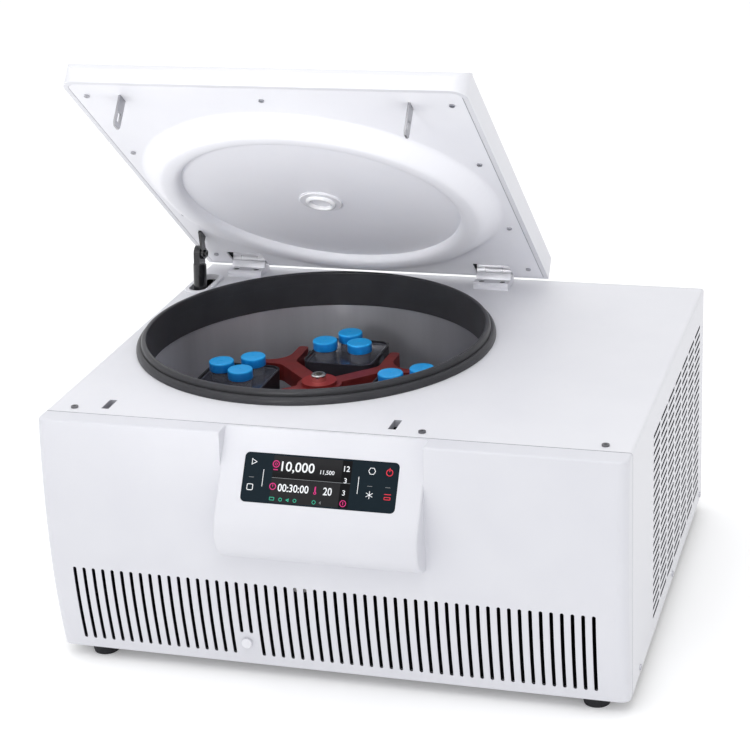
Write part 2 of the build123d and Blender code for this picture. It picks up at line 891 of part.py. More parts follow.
# Buckets, their adapters, tubes and caps
def bucket_plane(turn, drop):
    """Level plane over one trunnion axis; its y axis points away from the rotor."""
    heading = math.radians(rotor_turn + turn * 360 / bucket_count)
    return Plane(
        origin=(
            chamber_x + bucket_circle * math.cos(heading),
            chamber_y + bucket_circle * math.sin(heading),
            top_z - drop,
        ),
        x_dir=(math.sin(heading), -math.cos(heading), 0),
        z_dir=(0, 0, 1),
    )


bucket_height = bucket_bottom_drop - bucket_top_drop
bucket_taper = math.degrees(math.atan((bucket_width - bucket_foot) / 2 / bucket_height))
notch_width = 2 * (pin_radius + pin_fit)
for turn in range(bucket_count):
    number = turn + 1
    facing = adapter_facing[turn]
    tube_row = facing * tube_inner_row
    tube_spots = [(-tube_spacing, tube_row), (tube_spacing, tube_row), (0, facing * tube_outer_row)]
    with BuildPart() as bucket:
        with BuildSketch(bucket_plane(turn, bucket_top_drop)):
            RectangleRounded(bucket_width, bucket_width, bucket_corner)
        extrude(amount=-bucket_height, taper=bucket_taper)
        trunnion = bucket_plane(turn, trunnion_drop)
        side_plane = Plane(origin=trunnion.origin, x_dir=trunnion.y_dir, z_dir=trunnion.x_dir)
        with BuildSketch(side_plane):
            Circle(boss_radius)
        extrude(amount=bucket_width / 2 + boss_thickness, both=True)
        with BuildSketch(bucket_plane(turn, bucket_top_drop)):
            inner_width = bucket_width - 2 * bucket_wall
            RectangleRounded(inner_width, inner_width, bucket_corner - bucket_wall)
        extrude(amount=bucket_wall - bucket_height, taper=bucket_taper, mode=Mode.SUBTRACT)
        for side in (-1, 1):
            with BuildSketch(side_plane.offset(side * (bucket_width / 2 + boss_thickness))):
                Circle(pin_radius + pin_fit)
                with Locations((0, -boss_radius / 2)):
                    Rectangle(notch_width, boss_radius)
            extrude(amount=-side * boss_thickness, mode=Mode.SUBTRACT)
    save(bucket, f"bucket_{number}")

    with BuildPart() as adapter:
        with BuildSketch(bucket_plane(turn, adapter_top_drop)):
            lowered = (adapter_top_drop - bucket_top_drop) * math.tan(math.radians(bucket_taper))
            adapter_width = bucket_width - 2 * (bucket_wall + adapter_gap + lowered)
            RectangleRounded(adapter_width, adapter_width, adapter_corner)
        depth = bucket_bottom_drop - bucket_wall - adapter_gap - adapter_top_drop
        extrude(amount=-depth, taper=bucket_taper)
        with BuildSketch(bucket_plane(turn, adapter_top_drop)):
            with Locations(*tube_spots):
                Circle(tube_radius + tube_fit)
        extrude(amount=adapter_top_drop - tube_bottom_drop - tube_fit, mode=Mode.SUBTRACT)
    save(adapter, f"adapter_{number}")

    with BuildPart() as tubes:
        with BuildSketch(bucket_plane(turn, tube_top_drop)):
            with Locations(*tube_spots):
                Circle(tube_radius)
        extrude(amount=tube_top_drop + tube_cone - tube_bottom_drop)
        with BuildSketch(bucket_plane(turn, tube_bottom_drop - tube_cone)):
            with Locations(*tube_spots):
                Circle(tube_radius)
        extrude(amount=-tube_cone, taper=tube_cone_angle)
        with BuildSketch(bucket_plane(turn, tube_top_drop)):
            with Locations(*tube_spots):
                Circle(tube_radius - tube_wall)
        extrude(amount=tube_top_drop + tube_cone - tube_bottom_drop, mode=Mode.SUBTRACT)
    save(tubes, f"tubes_{number}")

    with BuildPart() as caps:
        with BuildSketch(bucket_plane(turn, cap_top_drop)):
            with Locations(*tube_spots):
                Circle(cap_radius)
        extrude(amount=-cap_height)
        fillet(caps.edges().group_by(Axis.Z)[-1], 1.2)
        with BuildSketch(bucket_plane(turn, cap_top_drop + cap_shell)):
            with Locations(*tube_spots):
                Circle(tube_radius + cap_fit)
        extrude(amount=cap_shell - cap_height, mode=Mode.SUBTRACT)
    save(caps, f"caps_{number}")


# Lid shell, open at the back where the hinges reach in
lid_width = lid_right - lid_left
lid_depth = lid_rear - lid_front
lid_mid = ((lid_left + lid_right) / 2, lid_y((lid_front + lid_rear) / 2))


def lid_plan(rise, inset):
    """Rounded plan of the lid at this height, drawn in by inset."""
    with BuildSketch(lid_level(rise)) as plan:
        with Locations(lid_mid):
            outline = Rectangle(lid_width - 2 * inset, lid_depth - 2 * inset)
        fillet(outline.vertices().sort_by(Axis.Y)[:2], lid_corner - inset)
        fillet(outline.vertices().sort_by(Axis.Y)[-2:], lid_rear_corner - min(inset, 6))
    return plan.sketch


def hinge_pockets(rise):
    """Plan of the two hinge cut-outs, running out through the back edge."""
    with BuildSketch(lid_level(rise)) as plan:
        reach = lid_rear - arm_front + 2 * hinge_pocket_gap
        with Locations(*[(x, lid_y(arm_front - hinge_pocket_gap) + reach / 2) for x in hinge_x]):
            Rectangle(hinge_width + 2 * hinge_pocket_gap, reach)
    return plan.sketch


def lid_nose(wall):
    """Side profile of what the rounded front of the lid leaves out, kept this far inside it."""
    front = Plane(
        origin=lid_level(0).from_local_coords((lid_mid[0], lid_y(lid_front), 0)),
        x_dir=lid_axis.y_dir,
        z_dir=(1, 0, 0),
    )
    with BuildSketch(front) as profile:
        with BuildLine() as outline:
            ThreePointArc(
                (wall, lid_nose_start),
                (9.5 + 0.7 * wall, lid_thickness - 5.5 - 0.75 * wall),
                (lid_nose_run, lid_thickness - wall),
            )
            Polyline(
                (lid_nose_run, lid_thickness - wall),
                (lid_nose_run, 2 * lid_thickness),
                (-lid_wall, 2 * lid_thickness),
                (-lid_wall, lid_nose_start),
                (wall, lid_nose_start),
            )
        make_face(outline.edges())
    return profile.sketch


with BuildPart(mode=Mode.PRIVATE) as lid_hollow:
    add(lid_plan(0, lid_rim))
    extrude(amount=lid_thickness - lid_wall, dir=lid_axis.z_dir)
    add(lid_nose(lid_wall))
    extrude(amount=lid_width, both=True, dir=(1, 0, 0), mode=Mode.SUBTRACT)

with BuildPart() as lid_shell:
    add(lid_plan(0, 0))
    extrude(amount=lid_thickness, dir=lid_axis.z_dir)
    add(lid_nose(0))
    extrude(amount=lid_width, both=True, dir=(1, 0, 0), mode=Mode.SUBTRACT)
    top_edges = lid_shell.faces().sort_by(Axis((0, 0, 0), lid_axis.z_dir))[-1].edges()
    nose_end = lid_level(0).from_local_coords((0, lid_y(lid_front + lid_nose_run), 0))
    rim = top_edges.filter_by(lambda e: (e.center() - nose_end).dot(lid_axis.y_dir) > 1)
    fillet(rim, lid_top_edge)
    add(lid_hollow.part, mode=Mode.SUBTRACT)
    add(hinge_pockets(0))
    extrude(amount=knuckle_radius - lid_under + hinge_pocket_gap, dir=lid_axis.z_dir, mode=Mode.SUBTRACT)
save(lid_shell, "lid_shell")

# Lid liner: flat plate with the round dome that hangs into the chamber
dome_plane = Plane(
    origin=lid_level(0).from_local_coords((chamber_x, lid_y(chamber_y), 0)),
    x_dir=(1, 0, 0),
    z_dir=-lid_axis.y_dir,
)
dome_axis = Axis(dome_plane.origin, lid_axis.z_dir)
latch_spots = [(x, lid_y(striker_y)) for x in latch_x]
lug_spot = (gas_lug_x, lid_y(gas_lug_y))
lid_screw_spots = [(lid_left + lid_screw_inset, lid_y(y)) for y in lid_screw_rows]
lid_screw_spots += [(lid_right - lid_screw_inset, lid_y(y)) for y in lid_screw_rows]
lid_screw_spots += [(chamber_x, lid_y(lid_screw_rows[0]))]
with BuildPart() as lid_liner:
    add(lid_plan(0, lid_rim + liner_gap))
    extrude(amount=liner_thickness, dir=lid_axis.z_dir)
    with BuildSketch(lid_level(0)):
        with Locations((chamber_x, lid_y(chamber_y))):
            Circle(dome_foot)
    extrude(amount=liner_thickness, mode=Mode.SUBTRACT)
    with BuildSketch(dome_plane):
        with BuildLine():
            floor = dish_rise - dome_drop
            Line((dome_foot, liner_thickness), (dome_foot, 0))
            Bezier((dome_foot, 0), (dome_shoulder + 10, 0), (dome_shoulder, -dome_drop), (dome_crest, -dome_drop))
            Bezier(
                (dome_crest, -dome_drop),
                (dish_radius + dish_blend, -dome_drop),
                (dish_radius + 2, -dome_drop),
                (dish_radius, floor),
            )
            Polyline(
                (dish_radius, floor),
                (port_glass_radius, floor),
                (port_glass_radius, floor + liner_thickness),
                (dish_radius + liner_thickness, floor + liner_thickness),
            )
            Bezier(
                (dish_radius + liner_thickness, floor + liner_thickness),
                (dish_radius + 2 + liner_thickness, liner_thickness - dome_drop),
                (dish_radius + dish_blend + liner_thickness, liner_thickness - dome_drop),
                (dome_crest, liner_thickness - dome_drop),
            )
            Bezier(
                (dome_crest, liner_thickness - dome_drop),
                (dome_shoulder - 2, liner_thickness - dome_drop),
                (dome_shoulder + 8.5, liner_thickness),
                (dome_foot, liner_thickness),
            )
        make_face()
    revolve(axis=dome_axis)
    add(hinge_pockets(0))
    extrude(amount=liner_thickness, dir=lid_axis.z_dir, mode=Mode.SUBTRACT)
    with BuildSketch(lid_level(0)):
        with Locations(*latch_spots):
            Rectangle(striker_thickness + 2 * seat_gap, striker_width + 2 * seat_gap)
        with Locations(lug_spot):
            Rectangle(gas_lug_thickness + 2 * seat_gap, gas_lug_width + 2 * seat_gap)
        with Locations(*lid_screw_spots):
            Circle(screw_hole)
    extrude(amount=liner_thickness, mode=Mode.SUBTRACT)
save(lid_liner, "lid_liner")

with BuildPart() as lid_port:
    with BuildSketch(dome_plane):
        with BuildLine():
            floor = dish_rise - dome_drop
            Polyline(
                (port_glass_radius - port_thickness, floor),
                (port_glass_radius - port_thickness, floor - port_thickness),
                (port_radius - 1, floor - port_thickness),
                (port_radius, floor - port_thickness + 1),
                (port_radius, floor),
                (port_glass_radius - port_thickness, floor),
            )
        make_face()
    revolve(axis=dome_axis)
    with BuildSketch(lid_level(dish_rise - dome_drop)):
        with Locations((chamber_x, lid_y(chamber_y))):
            Circle(port_glass_radius - port_thickness)
    extrude(amount=-port_thickness / 2)
save(lid_port, "lid_port")

foam_rise = liner_thickness + seat_gap
with BuildPart() as lid_insulation:
    add(lid_plan(foam_rise, lid_rim + seat_gap))
    extrude(amount=lid_thickness - lid_wall - foam_rise - seat_gap, dir=lid_axis.z_dir)
    add(lid_nose(lid_wall + seat_gap))
    extrude(amount=lid_width, both=True, dir=(1, 0, 0), mode=Mode.SUBTRACT)
    with BuildSketch(lid_level(foam_rise)):
        with Locations((chamber_x, lid_y(chamber_y))):
            Circle(dish_radius - liner_thickness)
    extrude(amount=dish_rise - dome_drop)
    add(hinge_pockets(foam_rise))
    extrude(amount=lid_thickness, dir=lid_axis.z_dir, mode=Mode.SUBTRACT)
    with BuildSketch(lid_level(foam_rise)):
        with Locations(*latch_spots):
            Rectangle(striker_foot + 4, striker_width + 4)
        with Locations(lug_spot):
            Rectangle(striker_foot + 8, gas_lug_width + 4)
        with Locations(*lid_screw_spots):
            Circle(2 * screw_hole)
    extrude(amount=lid_thickness, mode=Mode.SUBTRACT)
save(lid_insulation, "lid_insulation")

with BuildPart() as lid_screws:
    screws_on(-lid_level(0), [(x, -y) for x, y in lid_screw_spots], head=lid_screw_radius)
save(lid_screws, "lid_screws")

# Striker plates: each has a slot for the latch nose and a foot inside the liner
with BuildPart() as striker_plates:
    for x in latch_x:
        side = Plane(origin=lid_level(0).from_local_coords((x, lid_y(striker_y), 0)), x_dir=lid_axis.y_dir, z_dir=(1, 0, 0))
        with BuildSketch(side):
            with BuildLine():
                half = striker_width / 2
                Polyline(
                    (-half, liner_thickness + striker_thickness),
                    (half, liner_thickness + striker_thickness),
                    (half, striker_bevel - striker_length),
                    (half - striker_bevel, -striker_length),
                    (striker_bevel - half, -striker_length),
                    (-half, striker_bevel - striker_length),
                    close=True,
                )
            make_face()
            with Locations((0, -striker_hole_drop)):
                Rectangle(*striker_hole, mode=Mode.SUBTRACT)
        extrude(amount=striker_thickness / 2, both=True)
    with BuildSketch(lid_level(liner_thickness)):
        with Locations(*latch_spots):
            Rectangle(striker_foot, striker_width)
    extrude(amount=striker_thickness)
save(striker_plates, "striker_plates")

# Hinges: blocks on the cabinet, arms on the lid, pins between them
with BuildPart() as hinge_blocks:
    with BuildSketch(Plane.XY.offset(top_z)):
        with Locations(*[(x, (hinge_block_front + hinge_y + knuckle_radius) / 2) for x in hinge_x]):
            Rectangle(hinge_width, hinge_y + knuckle_radius - hinge_block_front)
    extrude(amount=hinge_block_height)
    chamfer(hinge_blocks.edges().group_by(Axis.Z)[-1].group_by(Axis.Y)[0], 3)
    for x in hinge_x:
        with BuildSketch(Plane(origin=(x, hinge_y, top_z), x_dir=(0, 1, 0), z_dir=(1, 0, 0))):
            with Locations((0, hinge_rise)):
                Circle(knuckle_radius)
            with Locations((0, hinge_rise / 2)):
                Rectangle(2 * knuckle_radius, hinge_rise)
        extrude(amount=knuckle_half, both=True)
        with BuildSketch(Plane(origin=(x, hinge_y, top_z + hinge_rise), x_dir=(0, 1, 0), z_dir=(1, 0, 0))):
            Circle(hinge_pin_radius + hinge_pin_fit)
        extrude(amount=hinge_width, both=True, mode=Mode.SUBTRACT)
    with BuildSketch(Plane.XY.offset(top_z + hinge_block_height)):
        with Locations(*hinge_screw_spots):
            Circle(hinge_screw_radius)
    extrude(amount=-hinge_screw_sink, mode=Mode.SUBTRACT)
    with BuildSketch(Plane.XY.offset(top_z + hinge_block_height)):
        with Locations(*hinge_screw_spots):
            Circle(screw_hole)
    extrude(amount=-hinge_block_height, mode=Mode.SUBTRACT)
save(hinge_blocks, "hinge_blocks")

with BuildPart() as hinge_arms:
    roof = lid_thickness - lid_wall + lid_under - seat_gap
    for x in hinge_x:
        side = Plane(origin=lid_axis.from_local_coords((x, 0, 0)), x_dir=lid_axis.y_dir, z_dir=(1, 0, 0))
        with BuildSketch(side):
            Circle(knuckle_radius)
            with BuildLine():
                ThreePointArc((-knuckle_radius, 0), (-knuckle_radius - 9, 9), (arm_front - hinge_y + 2, hinge_arm_height))
                Polyline(
                    (arm_front - hinge_y + 2, hinge_arm_height),
                    (arm_front - hinge_y + 2, roof),
                    (lid_rear - lid_rim - hinge_y - seat_gap, roof),
                    (lid_rear - lid_rim - hinge_y - seat_gap, 0),
                    (-knuckle_radius, 0),
                )
            make_face()
        extrude(amount=hinge_width / 2, both=True)
        with BuildSketch(side):
            Circle(knuckle_radius + knuckle_gap)
            with Locations((0, -knuckle_radius)):
                Rectangle(2 * (knuckle_radius + knuckle_gap), 2 * knuckle_radius)
        extrude(amount=knuckle_half + knuckle_gap, both=True, mode=Mode.SUBTRACT)
        with BuildSketch(side):
            Circle(hinge_pin_radius + hinge_pin_fit)
        extrude(amount=hinge_width, both=True, mode=Mode.SUBTRACT)
save(hinge_arms, "hinge_arms")

with BuildPart() as hinge_pins:
    for x in hinge_x:
        with BuildSketch(Plane(origin=(x, hinge_y, top_z + hinge_rise), z_dir=(1, 0, 0))):
            Circle(hinge_pin_radius)
        extrude(amount=hinge_width / 2, both=True)
save(hinge_pins, "hinge_pins")

# Latch: a sliding bar with two noses, and the drive unit that carries it
bar_z = top_z - latch_bar_drop
nose_z = top_z + lid_plane_rise - striker_hole_drop
nose_start = striker_thickness / 2 + nose_gap
with BuildPart() as latch_bar:
    with BuildSketch(Plane.XY.offset(bar_z - latch_bar_height / 2)):
        bar_end = latch_x[1] + nose_start + nose_length + nose_section
        bar_start = latch_x[0] + nose_start
        with Locations(((bar_start + bar_end) / 2, striker_y)):
            Rectangle(bar_end - bar_start, latch_bar_width)
    extrude(amount=latch_bar_height)
    for x in latch_x:
        with BuildSketch(Plane.XY.offset(bar_z)):
            with Locations((x + nose_start + nose_length + nose_section / 2, striker_y)):
                Rectangle(nose_section, latch_bar_width)
        extrude(amount=nose_z + nose_section / 2 - bar_z)
        with BuildSketch(Plane.YZ.offset(x + nose_start)):
            with Locations((striker_y, nose_z)):
                Rectangle(nose_section, nose_section)
        extrude(amount=nose_length)
save(latch_bar, "latch_bar")

unit_top = top_z - sheet - seat_gap - frame_sheet
with BuildPart() as latch_unit:
    with BuildSketch(Plane.XY.offset(unit_top)):
        with Locations((latch_unit_x, striker_y)):
            Rectangle(latch_unit_length, latch_unit_width)
    extrude(amount=-latch_unit_height)
    with BuildSketch(Plane.XY.offset(unit_top - latch_unit_height)):
        with Locations((latch_unit_x, striker_y)):
            Circle(latch_coil_radius)
    extrude(amount=-latch_coil_height)
    with BuildSketch(Plane.YZ.offset(latch_unit_x)):
        with Locations((striker_y, bar_z)):
            Rectangle(latch_bar_width + 2 * latch_bar_gap, latch_bar_height + 2 * latch_bar_gap)
    extrude(amount=latch_unit_length, both=True, mode=Mode.SUBTRACT)
save(latch_unit, "latch_unit")

with BuildPart() as release_plug:
    with BuildSketch(Plane(origin=(plug_x, plug_seat_y, top_z - plug_drop), z_dir=(0, -1, 0))):
        Circle(plug_diameter / 2)
    extrude(amount=plug_head)
    fillet(release_plug.edges().sort_by(Axis.Y)[0], plug_head / 3)
    with BuildSketch(Plane(origin=(plug_x, plug_seat_y, top_z - plug_drop), z_dir=(0, 1, 0))):
        Circle(plug_stem / 2 - hinge_pin_fit)
    extrude(amount=plug_length)
save(release_plug, "release_plug")

# Gas spring: cylinder on the lid's stud, rod down to the anchor
gas_run = Vector(0, gas_pin_y - gas_anchor_y, gas_pin_rise + gas_anchor_drop)
gas_length = gas_run.length
gas_up = gas_run.normalized()


def spring_plane(down):
    """Plane across the gas spring, this far below its upper pin."""
    pin_spot = Vector(gas_x, gas_pin_y, top_z + gas_pin_rise)
    return Plane(origin=pin_spot - gas_up * down, x_dir=(1, 0, 0), z_dir=gas_up)


spring_side = Plane(origin=spring_plane(0).origin, x_dir=spring_plane(0).y_dir, z_dir=(1, 0, 0))
eye_inner = gas_lug_x - gas_lug_thickness / 2 - seat_gap - gas_x
eye_outer = 2 * eye_inner - eye_inner - gas_eye_thickness
cylinder_top = gas_clevis - gas_clevis_width / 2
with BuildPart() as gas_spring_cylinder:
    with BuildSketch(spring_side.offset(eye_outer)):
        Circle(gas_clevis_width / 2)
        with Locations((0, -cylinder_top / 2)):
            Rectangle(gas_clevis_width, cylinder_top)
    extrude(amount=eye_inner - eye_outer)
    with BuildSketch(spring_side.offset(eye_outer)):
        Circle(gas_pin_radius + hinge_pin_fit)
    extrude(amount=eye_inner - eye_outer, mode=Mode.SUBTRACT)
    with BuildSketch(spring_plane(cylinder_top)):
        Circle(gas_cylinder_radius)
    extrude(amount=-gas_cylinder_length)
    lower_rim = gas_spring_cylinder.edges().filter_by(GeomType.CIRCLE).sort_by(Axis((0, 0, 0), gas_up))[0]
    fillet(lower_rim, 2)
    with BuildSketch(spring_plane(cylinder_top + gas_cylinder_length)):
        Circle(gas_rod_radius + hinge_pin_fit)
    extrude(amount=gas_cylinder_length - 2 * gas_rod_radius, mode=Mode.SUBTRACT)
save(gas_spring_cylinder, "gas_spring_cylinder")

with BuildPart() as gas_spring_rod:
    with BuildSketch(spring_plane(gas_length)):
        Circle(gas_rod_radius)
    extrude(amount=gas_length - cylinder_top - gas_cylinder_length + gas_engaged)
    with BuildSketch(spring_side):
        with Locations((0, -gas_length)):
            Circle(gas_eye_radius)
    extrude(amount=gas_rod_radius, both=True)
    with BuildSketch(spring_side):
        with Locations((0, -gas_length)):
            Circle(gas_eye_bore)
    extrude(amount=2 * gas_rod_radius, both=True, mode=Mode.SUBTRACT)
save(gas_spring_rod, "gas_spring_rod")

anchor_z = top_z - gas_anchor_drop
with BuildPart() as gas_spring_anchor:
    with BuildSketch(Plane(origin=(gas_x, gas_anchor_y, frame_base), x_dir=(0, 1, 0), z_dir=(1, 0, 0))):
        with Locations((0, anchor_z - frame_base)):
            Circle(2 * gas_anchor_pin)
        with Locations((0, (anchor_z - frame_base) / 2)):
            Rectangle(4 * gas_anchor_pin, anchor_z - frame_base)
    extrude(amount=gas_fork_gap / 2 + frame_sheet, both=True)
    with BuildSketch(Plane(origin=(gas_x, gas_anchor_y, frame_base), x_dir=(0, 1, 0), z_dir=(1, 0, 0))):
        with Locations((0, anchor_z - frame_base)):
            Rectangle(8 * gas_anchor_pin, 8 * gas_anchor_pin + 12)
            Circle(gas_anchor_pin, mode=Mode.SUBTRACT)
    extrude(amount=gas_fork_gap / 2, both=True, mode=Mode.SUBTRACT)
save(gas_spring_anchor, "gas_spring_anchor")

# Lug on the lid: plate with a foot inside the liner and a stud for the eye
with BuildPart() as gas_spring_bracket:
    lug_side = Plane(
        origin=lid_level(0).from_local_coords((gas_lug_x, lid_y(gas_lug_y), 0)),
        x_dir=lid_axis.y_dir,
        z_dir=(1, 0, 0),
    )
    stud = lug_side.to_local_coords(Vector(gas_lug_x, gas_pin_y, top_z + gas_pin_rise))
    with BuildSketch(lug_side):
        with Locations((stud.X, stud.Y)):
            Circle(gas_lug_eye)
        with BuildLine():
            Polyline(
                (stud.X - gas_lug_eye, stud.Y),
                (-gas_lug_width / 2, -gas_lug_skirt),
                (-gas_lug_width / 2, liner_thickness),
                (gas_lug_width / 2, liner_thickness),
                (gas_lug_width / 2, -gas_lug_eye),
                (stud.X + gas_lug_eye, stud.Y),
                close=True,
            )
        make_face()
    extrude(amount=gas_lug_thickness / 2, both=True)
    with BuildSketch(lid_level(liner_thickness)):
        with Locations(lug_spot):
            Rectangle(striker_foot, gas_lug_width)
    extrude(amount=striker_thickness)
    with BuildSketch(spring_side.offset(gas_lug_x - gas_x)):
        Circle(gas_pin_radius)
    extrude(amount=eye_outer - gas_lug_x + gas_x - 1)
    with BuildSketch(spring_side.offset(gas_lug_x - gas_x + gas_lug_thickness / 2)):
        Circle(gas_head_radius)
        RegularPolygon(gas_head_radius / 2, 6, mode=Mode.SUBTRACT)
    extrude(amount=gas_head_height)
save(gas_spring_bracket, "gas_spring_bracket")

with BuildPart() as gas_spring_bezel:
    with BuildSketch(Plane.XY.offset(top_z)):
        with Locations((gas_x, bezel_y)):
            SlotOverall(bezel_length + 2 * bezel_rim, bezel_width + 2 * bezel_rim, rotation=90)
    extrude(amount=bezel_height)
    fillet(gas_spring_bezel.edges().group_by(Axis.Z)[-1], bezel_height / 2)
    with BuildSketch(Plane.XY.offset(top_z)):
        with Locations((gas_x, bezel_y)):
            SlotOverall(bezel_length - 2 * seat_gap, bezel_width - 2 * seat_gap, rotation=90)
    extrude(amount=-bezel_skirt)
    with BuildSketch(Plane.XY.offset(top_z + bezel_height)):
        with Locations((gas_x, bezel_y)):
            SlotOverall(bezel_length - 4, bezel_width - 4, rotation=90)
    extrude(amount=-bezel_height - bezel_skirt, mode=Mode.SUBTRACT)
save(gas_spring_bezel, "gas_spring_bezel")

# Cooling unit in the right-hand bay
with BuildPart() as compressor:
    with BuildSketch(Plane.XY.offset(frame_base)):
        with Locations((compressor_x, compressor_y)):
            Rectangle(compressor_foot, compressor_foot / 2)
    extrude(amount=frame_sheet)
    with BuildSketch(Plane.XY.offset(frame_base + frame_sheet)):
        with Locations((compressor_x, compressor_y)):
            Circle(compressor_radius / 2)
    extrude(amount=compressor_stand)
    with BuildSketch(Plane.XY.offset(frame_base + frame_sheet + compressor_stand)):
        with Locations((compressor_x, compressor_y)):
            Circle(compressor_radius)
    extrude(amount=compressor_height)
    fillet(compressor.edges().filter_by(GeomType.CIRCLE).group_by(SortBy.RADIUS)[-1], compressor_edge)
save(compressor, "compressor")

with BuildPart() as condenser:
    with BuildSketch(Plane(origin=(condenser_x, condenser_y, frame_base), x_dir=(0, 1, 0), z_dir=(1, 0, 0))):
        with Locations((0, condenser_height / 2)):
            Rectangle(condenser_length, condenser_height)
    extrude(amount=condenser_depth)
    with BuildSketch(Plane(origin=(condenser_x, condenser_y, frame_base), x_dir=(0, 1, 0), z_dir=(1, 0, 0))):
        with Locations((0, condenser_height / 2)):
            with GridLocations(condenser_fin_pitch, 1, condenser_fins, 1):
                Rectangle(condenser_fin_pitch - 1, condenser_height - 4 * frame_sheet)
    extrude(amount=condenser_depth, mode=Mode.SUBTRACT)
    with BuildSketch(Plane(origin=(condenser_x, condenser_y, frame_base), x_dir=(0, 1, 0), z_dir=(-1, 0, 0))):
        with Locations((0, -condenser_height / 2)):
            Rectangle(condenser_length, condenser_height)
            Circle(fan_radius + fan_gap, mode=Mode.SUBTRACT)
    extrude(amount=frame_sheet)
    with BuildSketch(Plane(origin=(condenser_x, condenser_y, frame_base), x_dir=(0, 1, 0), z_dir=(-1, 0, 0))):
        with Locations((0, -condenser_height / 2)):
            Circle(fan_radius + fan_gap + frame_sheet)
            Circle(fan_radius + fan_gap, mode=Mode.SUBTRACT)
    extrude(amount=shroud_depth)
save(condenser, "condenser")

fan_plane = Plane(
    origin=(condenser_x - shroud_depth, condenser_y, frame_base + condenser_height / 2),
    x_dir=(0, 1, 0),
    z_dir=(1, 0, 0),
)
with BuildPart() as condenser_fan:
    with BuildSketch(fan_plane.offset(fan_blade_start)):
        Circle(fan_hub_radius)
    extrude(amount=fan_blade_depth)
    with BuildSketch(fan_plane.offset(fan_blade_start)):
        Circle(fan_shaft_radius + hinge_pin_fit)
    extrude(amount=fan_blade_depth - 2, mode=Mode.SUBTRACT)
    with BuildSketch(fan_plane.offset(fan_blade_start + fan_blade_depth / 2)):
        with PolarLocations(0, fan_blades):
            with Locations(((fan_radius + fan_hub_radius) / 2 - 1, 0)):
                Rectangle(fan_radius - fan_hub_radius + 2, fan_blade_width)
    extrude(amount=frame_sheet)
save(condenser_fan, "condenser_fan")

with BuildPart() as fan_motor:
    with BuildSketch(fan_plane):
        Circle(fan_hub_radius)
        with PolarLocations(0, 4, start_angle=45):
            with Locations(((fan_radius + fan_gap + frame_sheet) / 2, 0)):
                Rectangle(fan_radius + fan_gap + frame_sheet, 3 * frame_sheet)
    extrude(amount=-2 * frame_sheet)
    with BuildSketch(fan_plane):
        Circle(fan_hub_radius)
    extrude(amount=-fan_motor_length)
    with BuildSketch(fan_plane):
        Circle(fan_shaft_radius)
    extrude(amount=fan_blade_start + fan_blade_depth - 3)
save(fan_motor, "fan_motor")

compressor_top = frame_base + frame_sheet + compressor_stand + compressor_height
pipe_x = condenser_x + condenser_depth / 2
with BuildPart() as refrigerant_pipes:
    with BuildLine():
        pipe_path = FilletPolyline(
            (compressor_x, compressor_y, compressor_top),
            (compressor_x, compressor_y, compressor_top + pipe_loop),
            (pipe_x, compressor_y, compressor_top + pipe_loop),
            (pipe_x, condenser_y + pipe_landing, compressor_top + pipe_loop),
            (pipe_x, condenser_y + pipe_landing, frame_base + condenser_height),
            radius=pipe_bend,
        )
    with BuildSketch(Plane(origin=pipe_path @ 0, z_dir=pipe_path % 0)):
        Circle(coil_tube / 2)
    sweep(path=pipe_path)
save(refrigerant_pipes, "refrigerant_pipes")

# Power entry on the back: inlet socket and rocker switch in one housing
entry_plane = Plane(origin=(entry_x, rear_y, foot_height + entry_rise), x_dir=(-1, 0, 0), z_dir=(0, 1, 0))
with BuildPart() as power_inlet:
    with BuildSketch(entry_plane):
        RectangleRounded(entry_width + 8, entry_height + 8, 3)
    extrude(amount=frame_sheet)
    with BuildSketch(entry_plane):
        Rectangle(entry_width, entry_height)
    extrude(amount=-entry_depth)
    with BuildSketch(entry_plane.offset(frame_sheet)):
        with Locations((socket_offset, 0)):
            RectangleRounded(socket_width, entry_height - 5, 3)
        with Locations((switch_offset, 0)):
            Rectangle(switch_width, entry_height - 4)
    extrude(amount=2 - entry_depth, mode=Mode.SUBTRACT)
    with BuildSketch(entry_plane.offset(4 - entry_depth)):
        with Locations((socket_offset, 0)):
            with GridLocations(socket_width / 4, 1, 3, 1):
                Rectangle(2, 6)
    extrude(amount=entry_depth - 8)
save(power_inlet, "power_inlet")

rocker_side = Plane(
    origin=entry_plane.from_local_coords((switch_offset, 0, 0)),
    x_dir=(0, 1, 0),
    z_dir=(1, 0, 0),
)
rocker_half = entry_height / 2 - 2 - rocker_gap
with BuildPart() as power_switch:
    with BuildSketch(rocker_side):
        with BuildLine():
            Polyline(
                (frame_sheet, 0),
                (rocker_low, rocker_half),
                (-frame_sheet, rocker_half - 1),
                (-rocker_depth, 0),
                (-frame_sheet, 1 - rocker_half),
                (rocker_high, -rocker_half),
                close=True,
            )
        make_face()
    extrude(amount=switch_width / 2 - seat_gap, both=True)
    with BuildSketch(rocker_side):
        with Locations((-rocker_pivot, 0)):
            Circle(1)
    extrude(amount=switch_width / 2 - hinge_pin_fit, both=True)
save(power_switch, "power_switch")
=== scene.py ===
import math

import bpy
from mathutils import Matrix, Vector


